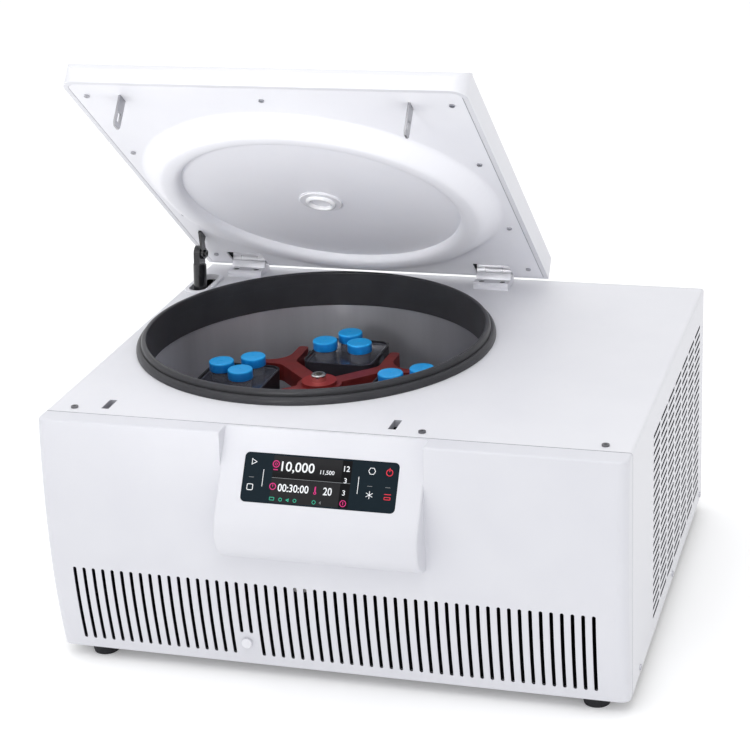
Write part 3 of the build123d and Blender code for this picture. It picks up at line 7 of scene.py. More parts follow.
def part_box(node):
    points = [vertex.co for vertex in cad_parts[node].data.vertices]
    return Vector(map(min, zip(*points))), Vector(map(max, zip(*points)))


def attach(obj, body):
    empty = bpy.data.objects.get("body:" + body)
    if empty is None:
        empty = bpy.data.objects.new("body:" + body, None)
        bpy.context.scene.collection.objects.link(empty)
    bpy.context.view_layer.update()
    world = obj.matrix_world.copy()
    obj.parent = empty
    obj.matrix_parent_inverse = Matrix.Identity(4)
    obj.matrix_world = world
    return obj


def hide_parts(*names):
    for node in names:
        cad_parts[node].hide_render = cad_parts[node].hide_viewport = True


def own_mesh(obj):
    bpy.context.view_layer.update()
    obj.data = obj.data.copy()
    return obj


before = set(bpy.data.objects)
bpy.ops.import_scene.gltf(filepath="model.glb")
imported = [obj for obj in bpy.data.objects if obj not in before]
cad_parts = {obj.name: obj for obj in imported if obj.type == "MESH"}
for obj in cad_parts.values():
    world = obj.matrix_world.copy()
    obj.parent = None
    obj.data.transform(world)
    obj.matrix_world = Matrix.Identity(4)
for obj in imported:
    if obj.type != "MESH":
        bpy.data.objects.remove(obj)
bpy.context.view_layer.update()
print("frame loaded")

coverTop = 0.334  # top of the cabinet above the floor
mergeGap = 0.000002  # points closer than this are joined
chamber = {"x": -0.110, "y": 0.0454}
hinge = {"y": 0.3044, "z": 0.353, "open": 40.4}


def placeCamera(settings):
    azimuth = math.radians(settings["azimuth"])
    elevation = math.radians(settings["elevation"])
    roll = math.radians(settings["roll"])
    level = math.cos(elevation)
    forward = Vector((-math.sin(azimuth) * level, math.cos(azimuth) * level, -math.sin(elevation)))
    right = Vector((math.cos(azimuth), math.sin(azimuth), 0))
    up = right.cross(forward)
    across = math.cos(roll) * right + math.sin(roll) * up
    upright = -math.sin(roll) * right + math.cos(roll) * up
    turn = Matrix((across, upright, -forward)).transposed()
    bpy.ops.object.camera_add(location=settings["place"], rotation=turn.to_euler())
    camera = bpy.context.object
    camera.name = "photoCamera"
    camera.data.lens = settings["lens"]
    camera.data.sensor_width = 36
    camera.data.clip_end = 20
    bpy.context.scene.camera = camera


cameraSettings = {
    "place": (0.7249, -2.3704, 1.2703),
    "azimuth": 17.3756,
    "elevation": 21.2404,
    "roll": -2.7586,
    "lens": 98.17,
}
placeCamera(cameraSettings)

# white sweep, a sky that is dimmer on the right, and four soft boxes
studio = {
    "floorColor": (0.97, 0.97, 0.97),
    "floorGlow": 0.16,
    "skyLeft": 0.98,
    "skyRight": 0.78,
    "lamps": {
        "topLight": {"place": (-0.3, -0.3, 2.6), "size": 2.0, "power": 12.5},
        "keyLight": {"place": (-1.8, -2.2, 1.9), "size": 1.4, "power": 3},
        "chamberLight": {"place": (0.6, -1.9, 2.5), "size": 0.9, "power": 11.5},
        "lidLight": {
            "place": (-0.25, -1.7, 0.85), "aim": (-0.11, 0.1, 0.5), "size": 0.3, "power": 0.25, "spread": 24,
        },
    },
    "aim": (-0.05, 0.0, 0.3),
}


def addSky(settings):
    world = bpy.data.worlds.new("studioSky")
    bpy.context.scene.world = world
    world.use_nodes = True
    nodes, links = world.node_tree.nodes, world.node_tree.links
    place = nodes.new("ShaderNodeTexCoord")
    parts = nodes.new("ShaderNodeSeparateXYZ")
    links.new(place.outputs["Generated"], parts.inputs["Vector"])
    fade = nodes.new("ShaderNodeMapRange")
    fade.inputs["From Min"].default_value = -1
    fade.inputs["To Min"].default_value = settings["skyLeft"]
    fade.inputs["To Max"].default_value = settings["skyRight"]
    links.new(parts.outputs["X"], fade.inputs["Value"])
    links.new(fade.outputs["Result"], nodes["Background"].inputs["Strength"])
    nodes["Background"].inputs["Color"].default_value = (0.985, 0.99, 1, 1)


def addStudio(settings):
    bpy.ops.mesh.primitive_plane_add(size=14, location=(0, 0, 0))
    floor = bpy.context.object
    floor.name = "studioFloor"
    paint = bpy.data.materials.new("floorPaint")
    paint.use_nodes = True
    shader = paint.node_tree.nodes["Principled BSDF"]
    shader.inputs["Base Color"].default_value = (*settings["floorColor"], 1)
    shader.inputs["Roughness"].default_value = 0.9
    shader.inputs["Specular IOR Level"].default_value = 0.1
    shader.inputs["Emission Color"].default_value = (1, 1, 1, 1)
    shader.inputs["Emission Strength"].default_value = settings["floorGlow"]
    floor.data.materials.append(paint)
    addSky(settings)
    for name, lampLook in settings["lamps"].items():
        bpy.ops.object.light_add(type="AREA", location=lampLook["place"])
        lamp = bpy.context.object
        lamp.name = name
        lamp.data.size = lampLook["size"]
        lamp.data.energy = lampLook["power"]
        lamp.data.spread = math.radians(lampLook.get("spread", 180))
        aim = Vector(lampLook.get("aim", settings["aim"])) - Vector(lampLook["place"])
        lamp.rotation_euler = aim.to_track_quat("-Z", "Y").to_euler()


addStudio(studio)
bpy.context.scene.view_settings.view_transform = "Standard"
print("camera and studio ready")


# A zone is a region of the piece that gets its own colour, read from its own coordinates
def zoneFactor(nodes, links, axes, zone):
    kind, axis, level = zone["kind"], zone["axis"], zone["level"]
    if kind in ("near", "beyond"):
        source = distanceFrom(nodes, links, axes, zone["centre"], axis)
    elif isinstance(axis, str):
        source = axes[axis]
    else:
        source = alongDirection(nodes, links, axes, axis)
    if kind in ("outside", "inside"):
        size = nodes.new("ShaderNodeMath")
        size.operation = "ABSOLUTE"
        links.new(source, size.inputs[0])
        source = size.outputs[0]
    ramp = nodes.new("ShaderNodeMapRange")
    soft = zone.get("soft", 0.0001)
    low, high = (1, 0) if kind in ("below", "inside", "near") else (0, 1)
    ramp.inputs["From Min"].default_value = level - soft
    ramp.inputs["From Max"].default_value = level + soft
    ramp.inputs["To Min"].default_value = low
    ramp.inputs["To Max"].default_value = high
    links.new(source, ramp.inputs["Value"])
    return ramp.outputs["Result"]


def alongDirection(nodes, links, axes, direction):
    reach = nodes.new("ShaderNodeVectorMath")
    reach.operation = "DOT_PRODUCT"
    reach.inputs[1].default_value = direction
    links.new(axes["place"], reach.inputs[0])
    return reach.outputs["Value"]


# distance from a line through the centre that runs along the named axis
def distanceFrom(nodes, links, axes, centre, axis):
    offset = nodes.new("ShaderNodeVectorMath")
    offset.operation = "SUBTRACT"
    offset.inputs[1].default_value = centre
    links.new(axes["place"], offset.inputs[0])
    flat = nodes.new("ShaderNodeVectorMath")
    flat.operation = "MULTIPLY"
    flat.inputs[1].default_value = [0 if axis == letter else 1 for letter in "xyz"]
    links.new(offset.outputs["Vector"], flat.inputs[0])
    reach = nodes.new("ShaderNodeVectorMath")
    reach.operation = "LENGTH"
    links.new(flat.outputs["Vector"], reach.inputs[0])
    return reach.outputs["Value"]


def combineFactors(nodes, links, factors, how):
    joined = factors[0]
    for factor in factors[1:]:
        step = nodes.new("ShaderNodeMath")
        step.operation = how
        links.new(joined, step.inputs[0])
        links.new(factor, step.inputs[1])
        joined = step.outputs[0]
    return joined


def makeFinish(name, look):
    paint = bpy.data.materials.new(name)
    paint.use_nodes = True
    nodes, links = paint.node_tree.nodes, paint.node_tree.links
    shader = nodes["Principled BSDF"]
    place = nodes.new("ShaderNodeTexCoord")
    spread = nodes.new("ShaderNodeMapping")
    spread.inputs["Scale"].default_value = look.get("stretch", (1, 1, 1))
    links.new(place.outputs["Object"], spread.inputs["Vector"])
    mottle = nodes.new("ShaderNodeTexNoise")
    mottle.inputs["Scale"].default_value = look.get("mottleScale", 14)
    mottle.inputs["Detail"].default_value = 5
    links.new(spread.outputs["Vector"], mottle.inputs["Vector"])
    tint = nodes.new("ShaderNodeValToRGB")
    tint.color_ramp.elements[0].position = 0.3
    tint.color_ramp.elements[1].position = 0.7
    tint.color_ramp.elements[0].color = (*look["dark"], 1)
    tint.color_ramp.elements[1].color = (*look["light"], 1)
    links.new(mottle.outputs["Fac"], tint.inputs["Fac"])
    color = tint.outputs["Color"]
    parts = nodes.new("ShaderNodeSeparateXYZ")
    links.new(place.outputs["Object"], parts.inputs["Vector"])
    axes = {letter: parts.outputs[letter.upper()] for letter in "xyz"}
    axes["place"] = place.outputs["Object"]
    for zone in look.get("zones", []):
        factors = [zoneFactor(nodes, links, axes, edge) for edge in zone["edges"]]
        factor = combineFactors(nodes, links, factors, zone.get("how", "MULTIPLY"))
        blend = nodes.new("ShaderNodeMix")
        blend.data_type = "RGBA"
        links.new(factor, blend.inputs["Factor"])
        links.new(color, blend.inputs[6])
        blend.inputs[7].default_value = (*zone["color"], 1)
        color = blend.outputs[2]
    links.new(color, shader.inputs["Base Color"])
    if look.get("glow"):
        links.new(color, shader.inputs["Emission Color"])
        shader.inputs["Emission Strength"].default_value = look["glow"]
    gloss = nodes.new("ShaderNodeMapRange")
    gloss.inputs["To Min"].default_value = look["rough"][0]
    gloss.inputs["To Max"].default_value = look["rough"][1]
    links.new(mottle.outputs["Fac"], gloss.inputs["Value"])
    links.new(gloss.outputs["Result"], shader.inputs["Roughness"])
    grain = nodes.new("ShaderNodeTexNoise")
    grain.inputs["Scale"].default_value = look.get("grainScale", 900)
    grain.inputs["Detail"].default_value = 3
    links.new(spread.outputs["Vector"], grain.inputs["Vector"])
    relief = nodes.new("ShaderNodeBump")
    relief.inputs["Strength"].default_value = look.get("bump", 0.06)
    relief.inputs["Distance"].default_value = look.get("bumpDepth", 0.0002)
    links.new(grain.outputs["Fac"], relief.inputs["Height"])
    links.new(relief.outputs["Normal"], shader.inputs["Normal"])
    shader.inputs["Metallic"].default_value = look.get("metal", 0)
    shader.inputs["Specular IOR Level"].default_value = look.get("specular", 0.5)
    shader.inputs["IOR"].default_value = look.get("ior", 1.46)
    shader.inputs["Coat Weight"].default_value = look.get("coat", 0)
    shader.inputs["Coat Roughness"].default_value = look.get("coatRough", 0.1)
    shader.inputs["Transmission Weight"].default_value = look.get("clear", 0)
    return paint


# painted shade: the inner faces of the cabinet's sheets take this dark colour
innerShade = (0.035, 0.037, 0.048)  # unlit inside of the cabinet
whiteLow, whiteHigh = (0.72, 0.722, 0.757), (0.74, 0.741, 0.773)
innerRoof = {"kind": "below", "axis": "z", "level": 0.3327}
innerSides = {"kind": "inside", "axis": "x", "level": 0.36355}
finishes = {
    # white powder coat, with painted shade on the inner faces of the sheet
    "coverPowderCoat": {
        "dark": whiteLow, "light": whiteHigh, "rough": (0.38, 0.5), "bump": 0.05,
        "zones": [
            {"edges": [innerRoof, innerSides], "color": innerShade},
            {"edges": [
                {"kind": "inside", "axis": "x", "level": 0.3647},
                {"kind": "below", "axis": "z", "level": 0.31},
            ], "color": innerShade},
            # painted shade on the cover's front edge, in the seam with the front panel
            {"edges": [{"kind": "below", "axis": "y", "level": -0.25555}], "color": (0.16, 0.16, 0.19)},
        ],
    },
    "rearPowderCoat": {
        "dark": whiteLow, "light": whiteHigh, "rough": (0.38, 0.5), "bump": 0.05,
        # painted shade on the inner face of the rear panel
        "zones": [{"edges": [{"kind": "below", "axis": "y", "level": 0.3222}], "color": innerShade}],
    },
    # satin moulding, with painted shade inside the slots of its grille
    "frontMoulding": {
        "dark": (0.655, 0.658, 0.70), "light": (0.675, 0.678, 0.716), "rough": (0.32, 0.42), "bump": 0.03,
        "zones": [
            {"edges": [
                {"kind": "near", "axis": "x", "centre": (0, 0.4545, 0.1773), "level": 0.7466},
                {"kind": "inside", "axis": "x", "level": 0.345},
                {"kind": "below", "axis": "z", "level": 0.1415},
                {"kind": "above", "axis": "z", "level": 0.0325},
            ], "color": (0.03, 0.03, 0.045)},
        ],
    },
    "lidMoulding": {"dark": (0.74, 0.742, 0.78), "light": (0.76, 0.762, 0.80), "rough": (0.34, 0.44), "bump": 0.04},
    # pale liner, with the shadow of its fitting gap along both sides
    "linerPlastic": {
        "dark": (0.86, 0.862, 0.905), "light": (0.88, 0.882, 0.92), "rough": (0.4, 0.52), "bump": 0.03,
        "zones": [{"edges": [
            {"kind": "above", "axis": "x", "level": 0.1425},
        ], "color": (0.36, 0.36, 0.4)}, {"edges": [
            {"kind": "below", "axis": "x", "level": -0.3540},
        ], "color": (0.36, 0.36, 0.4)}],
    },
    "sleevePlastic": {"dark": (0.36, 0.36, 0.4), "light": (0.46, 0.46, 0.5), "rough": (0.4, 0.5), "bump": 0.05},
    "blackSheet": {"dark": (0.012, 0.012, 0.015), "light": (0.02, 0.02, 0.024), "rough": (0.6, 0.75), "bump": 0.1},
    "zincSheet": {"dark": (0.05, 0.05, 0.06), "light": (0.075, 0.075, 0.085), "rough": (0.4, 0.6), "metal": 0.6},
    "caseScrew": {
        "dark": (0.13, 0.13, 0.14), "light": (0.2, 0.2, 0.21), "rough": (0.25, 0.4), "metal": 0.8,
        "zones": [
            {"edges": [{"kind": "outside", "axis": "x", "level": 0.3635}], "color": (0.62, 0.62, 0.66)},
            {"edges": [
                {"kind": "above", "axis": "y", "level": 0.27},
                {"kind": "above", "axis": "z", "level": 0.334},
            ], "color": (0.012, 0.012, 0.016)},
        ],
    },
    "sealRubber": {
        "dark": (0.032, 0.032, 0.036), "light": (0.04, 0.04, 0.045), "rough": (0.3, 0.38),
        "specular": 0.28,
        "mottleScale": 30, "grainScale": 700, "bump": 0.06,
        # painted shade in the waist between the two rolls of the seal
        "zones": [{"edges": [
            {"kind": "beyond", "axis": "z", "centre": (-0.110, 0.0454, 0), "level": 0.2322, "soft": 0.0004},
            {"kind": "near", "axis": "z", "centre": (-0.110, 0.0454, 0), "level": 0.2334, "soft": 0.0004},
            {"kind": "above", "axis": "z", "level": 0.3385},
        ], "color": (0.008, 0.008, 0.009)}],
    },
    "footRubber": {"dark": (0.006, 0.006, 0.009), "light": (0.011, 0.011, 0.015), "rough": (0.6, 0.75), "bump": 0.25},
    # stainless bowl, brushed up and down, with painted shade over its right half
    "brushedSteel": {
        "dark": (0.42, 0.42, 0.45), "light": (0.82, 0.82, 0.87), "rough": (0.3, 0.4), "metal": 0.65,
        "stretch": (1, 1, 0.03), "mottleScale": 7, "grainScale": 500, "bump": 0.07, "bumpDepth": 0.0003,
        # painted shade: the right half of the bowl is coloured darker
        "zones": [{"edges": [{"kind": "above", "axis": "x", "level": 0.0, "soft": 0.09}], "color": (0.3, 0.3, 0.33)}],
    },
    "blackFoam": {"dark": (0.008, 0.008, 0.01), "light": (0.02, 0.02, 0.022), "rough": (0.8, 0.95), "bump": 0.5,
                  "bumpDepth": 0.001, "grainScale": 350},
    "copperTube": {"dark": (0.42, 0.17, 0.09), "light": (0.62, 0.28, 0.16), "rough": (0.25, 0.4), "metal": 1},
    "castMotor": {"dark": (0.02, 0.02, 0.025), "light": (0.035, 0.035, 0.04), "rough": (0.5, 0.65), "bump": 0.3,
                  "bumpDepth": 0.0006, "grainScale": 500},
    "turnedSteel": {"dark": (0.42, 0.42, 0.43), "light": (0.56, 0.56, 0.57), "rough": (0.2, 0.32), "metal": 1,
                    "stretch": (1, 1, 12)},
    "redAnodised": {
        "dark": (0.27, 0.034, 0.034), "light": (0.36, 0.05, 0.046), "rough": (0.34, 0.46), "metal": 0.6,
        "mottleScale": 60, "grainScale": 1400, "bump": 0.08,
        "zones": [{"edges": [
            {"kind": "near", "axis": "z", "centre": (-0.110, 0.0454, 0), "level": 0.0235},
            {"kind": "above", "axis": "z", "level": 0.2695},
        ], "color": (0.46, 0.04, 0.035)}],
    },
    "nutSteel": {"dark": (0.62, 0.61, 0.6), "light": (0.75, 0.74, 0.73), "rough": (0.14, 0.24), "metal": 1},
    "bucketCoat": {"dark": (0.016, 0.015, 0.02), "light": (0.026, 0.025, 0.032), "rough": (0.3, 0.45),
                   "grainScale": 1500, "bump": 0.12},
    "smokyPlastic": {"dark": (0.05, 0.052, 0.07), "light": (0.085, 0.088, 0.11), "rough": (0.14, 0.26), "bump": 0.03,
                     "coat": 0.4, "clear": 0.25},
    # painted highlight: pale colour for the bead along the trays' rims
    "trayRimHighlight": {"dark": (0.16, 0.165, 0.2), "light": (0.22, 0.225, 0.26), "rough": (0.12, 0.2), "coat": 0.5,
                 "bump": 0.02},
    "tubePlastic": {"dark": (0.36, 0.37, 0.44), "light": (0.5, 0.51, 0.58), "rough": (0.12, 0.22), "bump": 0.02,
                    "clear": 0.75, "coat": 0.2},
    "capPlastic": {
        "dark": (0.004, 0.2, 0.62), "light": (0.006, 0.235, 0.68), "rough": (0.26, 0.36),
        "mottleScale": 90, "bump": 0.05,
        # painted light: the tops of the caps are coloured a lighter blue than their sides
        "zones": [{"edges": [{"kind": "above", "axis": "z", "level": 0.2905, "soft": 0.0012}],
                   "color": (0.016, 0.40, 0.88)}],
    },
    "portPlastic": {"dark": (0.84, 0.842, 0.88), "light": (0.87, 0.872, 0.91), "rough": (0.08, 0.16), "coat": 0.5,
                    "bump": 0.02},
    "portRimPlastic": {"dark": (0.9, 0.9, 0.92), "light": (0.95, 0.95, 0.96), "rough": (0.12, 0.2), "coat": 0.5,
                       "bump": 0.02},
    "linerScrew": {"dark": (0.38, 0.38, 0.41), "light": (0.5, 0.5, 0.53), "rough": (0.25, 0.35), "metal": 0.8},
    "strikerSteel": {"dark": (0.36, 0.36, 0.38), "light": (0.46, 0.46, 0.48), "rough": (0.28, 0.4), "metal": 0.9,
                     "stretch": (12, 1, 1)},
    "hingeAluminium": {"dark": (0.74, 0.74, 0.79), "light": (0.83, 0.83, 0.87), "rough": (0.3, 0.42), "metal": 0.2,
                       "stretch": (1, 8, 8), "mottleScale": 40},
    "springBlack": {"dark": (0.006, 0.006, 0.008), "light": (0.011, 0.011, 0.013), "rough": (0.14, 0.22), "coat": 0.6,
                    "bump": 0.02},
    "pinSteel": {"dark": (0.5, 0.5, 0.52), "light": (0.65, 0.65, 0.66), "rough": (0.14, 0.24), "metal": 1},
    # glass, with the lit field of the display behind it
    "panelGlass": {
        "dark": (0.0055, 0.0125, 0.0185), "light": (0.007, 0.015, 0.0215), "rough": (0.2, 0.26), "bump": 0.004,
        "specular": 0.12,
        "zones": [
            {"edges": [
                {"kind": "above", "axis": "x", "level": -0.0592},
                {"kind": "below", "axis": "x", "level": 0.0382},
                {"kind": "above", "axis": (0, -0.5505, -0.8348), "level": -0.1036},
                {"kind": "below", "axis": (0, -0.5505, -0.8348), "level": -0.0472},
            ], "color": (0.02, 0.02, 0.0215)},
            {"edges": [
                {"kind": "above", "axis": "x", "level": -0.0592},
                {"kind": "below", "axis": "x", "level": 0.0382},
                {"kind": "above", "axis": (0, -0.5505, -0.8348), "level": -0.0885, "soft": 0.009},
                {"kind": "below", "axis": (0, -0.5505, -0.8348), "level": -0.0757},
            ], "color": (0.007, 0.007, 0.0078)},
            {"edges": [
                {"kind": "above", "axis": "x", "level": 0.0262},
                {"kind": "below", "axis": "x", "level": 0.0382},
                {"kind": "above", "axis": (0, -0.5505, -0.8348), "level": -0.1036},
                {"kind": "below", "axis": (0, -0.5505, -0.8348), "level": -0.0472},
            ], "color": (0.004, 0.004, 0.0048)},
        ],
    },
    "boardGreen": {"dark": (0.01, 0.06, 0.02), "light": (0.02, 0.12, 0.05), "rough": (0.35, 0.5)},
    "finAluminium": {"dark": (0.05, 0.052, 0.06), "light": (0.09, 0.092, 0.1), "rough": (0.35, 0.5), "metal": 0.7,
                     "stretch": (1, 1, 6)},
    "darkPlastic": {"dark": (0.012, 0.012, 0.014), "light": (0.022, 0.022, 0.025), "rough": (0.4, 0.55),
                    "bump": 0.15},
    "screenWhite": {"dark": (0.72, 0.74, 0.76), "light": (0.8, 0.82, 0.84), "rough": (0.4, 0.5), "glow": 0.15},
    "screenMagenta": {"dark": (0.55, 0.01, 0.16), "light": (0.62, 0.014, 0.19), "rough": (0.4, 0.5), "glow": 0.1},
    "screenGreen": {"dark": (0.01, 0.36, 0.22), "light": (0.015, 0.42, 0.26), "rough": (0.4, 0.5), "glow": 0.08},
    "screenGrey": {"dark": (0.16, 0.17, 0.18), "light": (0.2, 0.21, 0.22), "rough": (0.4, 0.5), "glow": 0.05},
    "screenRed": {"dark": (0.62, 0.01, 0.03), "light": (0.7, 0.015, 0.04), "rough": (0.4, 0.5), "glow": 0.12},
}
nodeFinishes = {
    "coverPowderCoat": ["cabinet"],
    "rearPowderCoat": ["rear_panel"],
    "frontMoulding": ["front_panel"],
    "lidMoulding": ["lid_shell", "gas_spring_bezel", "release_plug"],
    "linerPlastic": ["lid_liner"],
    "blackSheet": ["base_plate", "front_frame"],
    "zincSheet": ["gas_spring_anchor", "latch_bar"],
    "caseScrew": ["case_screws"],
    "footRubber": ["feet", "motor_mounts"],
    "brushedSteel": ["chamber_bowl"],
    "blackFoam": ["chamber_insulation", "lid_insulation"],
    "copperTube": ["evaporator_coil", "refrigerant_pipes"],
    "castMotor": ["drive_motor", "compressor", "fan_motor", "latch_unit"],
    "turnedSteel": ["drive_shaft", "trunnion_pins", "hinge_pins"],
    "redAnodised": ["rotor_cross"],
    "nutSteel": ["rotor_nut"],
    "bucketCoat": ["bucket_1", "bucket_2", "bucket_3", "bucket_4"],
    "smokyPlastic": ["adapter_1", "adapter_2", "adapter_3", "adapter_4"],
    "tubePlastic": ["tubes_1", "tubes_2", "tubes_3", "tubes_4"],
    "portPlastic": ["lid_port"],
    "linerScrew": ["lid_screws"],
    "strikerSteel": ["striker_plates"],
    "hingeAluminium": ["hinge_blocks", "hinge_arms"],
    "springBlack": ["gas_spring_cylinder", "gas_spring_bracket"],
    "pinSteel": ["gas_spring_rod"],
    "panelGlass": ["touch_glass"],
    "boardGreen": ["control_board"],
    "finAluminium": ["condenser"],
    "darkPlastic": ["display_module", "condenser_fan", "power_inlet", "power_switch"],
}


def loadFinish(name):
    return bpy.data.materials.get(name) or makeFinish(name, finishes[name])


for finishName, nodeNames in nodeFinishes.items():
    for nodeName in nodeNames:
        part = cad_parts[nodeName]
        for slot in part.material_slots:
            slot.material = loadFinish(finishName)
print("finishes on the frame's pieces")


def clearSelection():
    if bpy.context.mode != "OBJECT":
        bpy.ops.object.mode_set(mode="OBJECT")
    bpy.ops.object.select_all(action="DESELECT")


def selectOnly(pieces):
    clearSelection()
    for piece in pieces:
        piece.select_set(True)
    bpy.context.view_layer.objects.active = pieces[0]


# an outline of (radius, height) points turned once round an upright axis
def spinOutline(name, outline, steps):
    clearSelection()
    bpy.ops.mesh.primitive_plane_add(size=0.001, location=(0, 0, 0))
    piece = bpy.context.object
    piece.name = name
    bpy.ops.object.mode_set(mode="EDIT")
    bpy.ops.mesh.select_mode(type="VERT")
    bpy.ops.mesh.select_all(action="SELECT")
    bpy.ops.mesh.merge(type="CENTER")
    bpy.ops.transform.translate(value=(outline[0][0], 0, outline[0][1]))
    for here, there in zip(outline, outline[1:]):
        step = (there[0] - here[0], 0, there[1] - here[1])
        bpy.ops.mesh.extrude_region_move(TRANSFORM_OT_translate={"value": step})
    bpy.ops.mesh.select_all(action="SELECT")
    bpy.ops.mesh.spin(steps=steps, angle=2 * math.pi, center=(0, 0, 0), axis=(0, 0, 1))
    bpy.ops.mesh.select_all(action="SELECT")
    bpy.ops.mesh.remove_doubles(threshold=mergeGap)
    bpy.ops.mesh.normals_make_consistent(inside=False)
    bpy.ops.object.mode_set(mode="OBJECT")
    bpy.ops.object.shade_smooth_by_angle(angle=math.radians(32))
    return piece


def placePiece(piece, matrix):
    selectOnly([piece])
    piece.matrix_world = matrix
    bpy.ops.object.transform_apply(location=True, rotation=True, scale=True)


def dressPiece(piece, finishName, bodyName):
    piece.data.materials.clear()
    piece.data.materials.append(loadFinish(finishName))
    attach(piece, bodyName)


# points of an ellipse's arc, from the start angle to the end angle
def arcPoints(centre, radii, start, end, count):
    turns = [math.radians(start + (end - start) * step / count) for step in range(count + 1)]
    return [(centre[0] + radii[0] * math.cos(turn), centre[1] + radii[1] * math.sin(turn)) for turn in turns]


# lid seal: a low roll and a high roll on the cover with a waist between, and a wall down to the bowl
seal = {
    "inner": 0.2245,
    "outer": 0.2388,
    "crest": 0.2284,
    "waist": 0.2327,
    "waistHalf": 0.0006,
    "waistHeight": 0.0098,
    "height": 0.0172,
    "foot": 0.0022,
    "toe": 0.0004,
    "toeHeight": 0.0006,
    "seat": 0.00005,
    "lip": 0.0022,
    "opening": 0.2307,
    "gap": 0.0002,
    "bowl": 0.2275,
    "depth": 0.033,
    "hem": 0.001,
    "cover": 0.0016,
    "steps": 144,
    "rollSteps": 9,
    "lipSteps": 6,
    "keep": 0.004,
    "sink": 0.0015,
}


def addSeal(settings):
    outer, inner, height, lip = settings["outer"], settings["inner"], settings["height"], settings["lip"]
    crest, foot, seat = settings["crest"], settings["foot"], settings["seat"]
    waistHeight, rollSteps = settings["waistHeight"], settings["rollSteps"]
    lowRoll = settings["waist"] + settings["waistHalf"]
    highEdge = settings["waist"] - settings["waistHalf"] / 2
    edge = settings["opening"] - settings["gap"]
    ridgeOutline = [(edge, seat), (outer - settings["toe"], seat), (outer, settings["toeHeight"])]
    ridgeOutline += arcPoints((lowRoll, foot), (outer - lowRoll, waistHeight - foot), 0, 90, rollSteps)
    ridgeOutline += arcPoints((crest, waistHeight), (highEdge - crest, height - waistHeight), 0, 90, rollSteps)
    ridgeOutline += arcPoints((inner + lip, height - lip), (lip, lip), 90, 180, settings["lipSteps"])
    ridgeOutline += [(inner, seat), (edge, seat)]
    ridgePiece = spinOutline("sealRidge", ridgeOutline, settings["steps"])
    wallOutline = [
        (edge, 0),
        (inner, 0),
        (inner, -settings["depth"] + settings["hem"]),
        (inner + settings["hem"], -settings["depth"]),
        (settings["bowl"], -settings["depth"]),
        (settings["bowl"], -settings["cover"]),
        (edge, -settings["cover"]),
        (edge, 0),
    ]
    wallPiece = spinOutline("sealWall", wallOutline, settings["steps"])
    middle = Matrix.Translation((chamber["x"], chamber["y"], coverTop))
    for piece in (ridgePiece, wallPiece):
        placePiece(piece, middle)
        dressPiece(piece, "sealRubber", "base")
    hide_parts("chamber_gasket")
    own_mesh(ridgePiece)


addSeal(seal)
print("lid seal")

# screw caps of the tubes: rounded crown, a pip in the middle, smooth skirt
caps = {
    "top": 0.2925,
    "height": 0.013,
    "radius": 0.017,
    "shell": 0.0014,
    "crown": 0.0018,
    "crownSteps": 6,
    "pip": ((0.00002, -0.0006), (0.0007, -0.0006), (0.0011, -0.0001), (0.0016, 0.0), (0.009, 0.0)),
    "hemRise": 0.0007,
    "hemRun": 0.0004,
    "bore": 0.0148,
    "steps": 48,
    "circle": 0.120,
    "firstHeading": -1,
    "facing": (-1, 1, 1, 1),
    "innerRow": -0.0175,
    "outerRow": 0.019,
    "spacing": 0.025,
}


def addCaps(settings):
    radius, height, shell = settings["radius"], settings["height"], settings["shell"]
    crown = settings["crown"]
    outline = list(settings["pip"])
    outline += arcPoints((radius - crown, -crown), (crown, crown), 90, 0, settings["crownSteps"])
    outline += [
        (radius, -height + settings["hemRise"]),
        (radius - settings["hemRun"], -height),
        (settings["bore"], -height),
        (settings["bore"], -shell),
        (settings["pip"][0][0], -shell),
    ]
    pattern = spinOutline("tubeCap", outline, settings["steps"])
    for turn, facing in enumerate(settings["facing"]):
        heading = math.radians(settings["firstHeading"] + 90 * turn)
        away = Vector((math.cos(heading), math.sin(heading), 0))
        across = Vector((math.sin(heading), -math.cos(heading), 0))
        centre = Vector((chamber["x"], chamber["y"], settings["top"])) + settings["circle"] * away
        row = facing * settings["innerRow"]
        spots = ((-settings["spacing"], row), (settings["spacing"], row), (0, facing * settings["outerRow"]))
        copies = []
        for side, out in spots:
            cap = pattern.copy()
            cap.data = pattern.data.copy()
            bpy.context.collection.objects.link(cap)
            placePiece(cap, Matrix.Translation(centre + side * across + out * away))
            copies.append(cap)
        selectOnly(copies)
        bpy.ops.object.join()
        joined = bpy.context.object
        joined.name = f"tubeCaps{turn + 1}"
        dressPiece(joined, "capPlastic", f"swing_bucket_{turn + 1}")
        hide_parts(f"caps_{turn + 1}")
    selectOnly([pattern])
    bpy.ops.object.delete()


addCaps(caps)
print("tube caps")

# pale bead round the rim of each tray, a painted highlight along the rim
trayRim = {"top": 0.267, "half": 0.0462, "corner": 0.0125, "bead": 0.0011, "height": 0.0008}


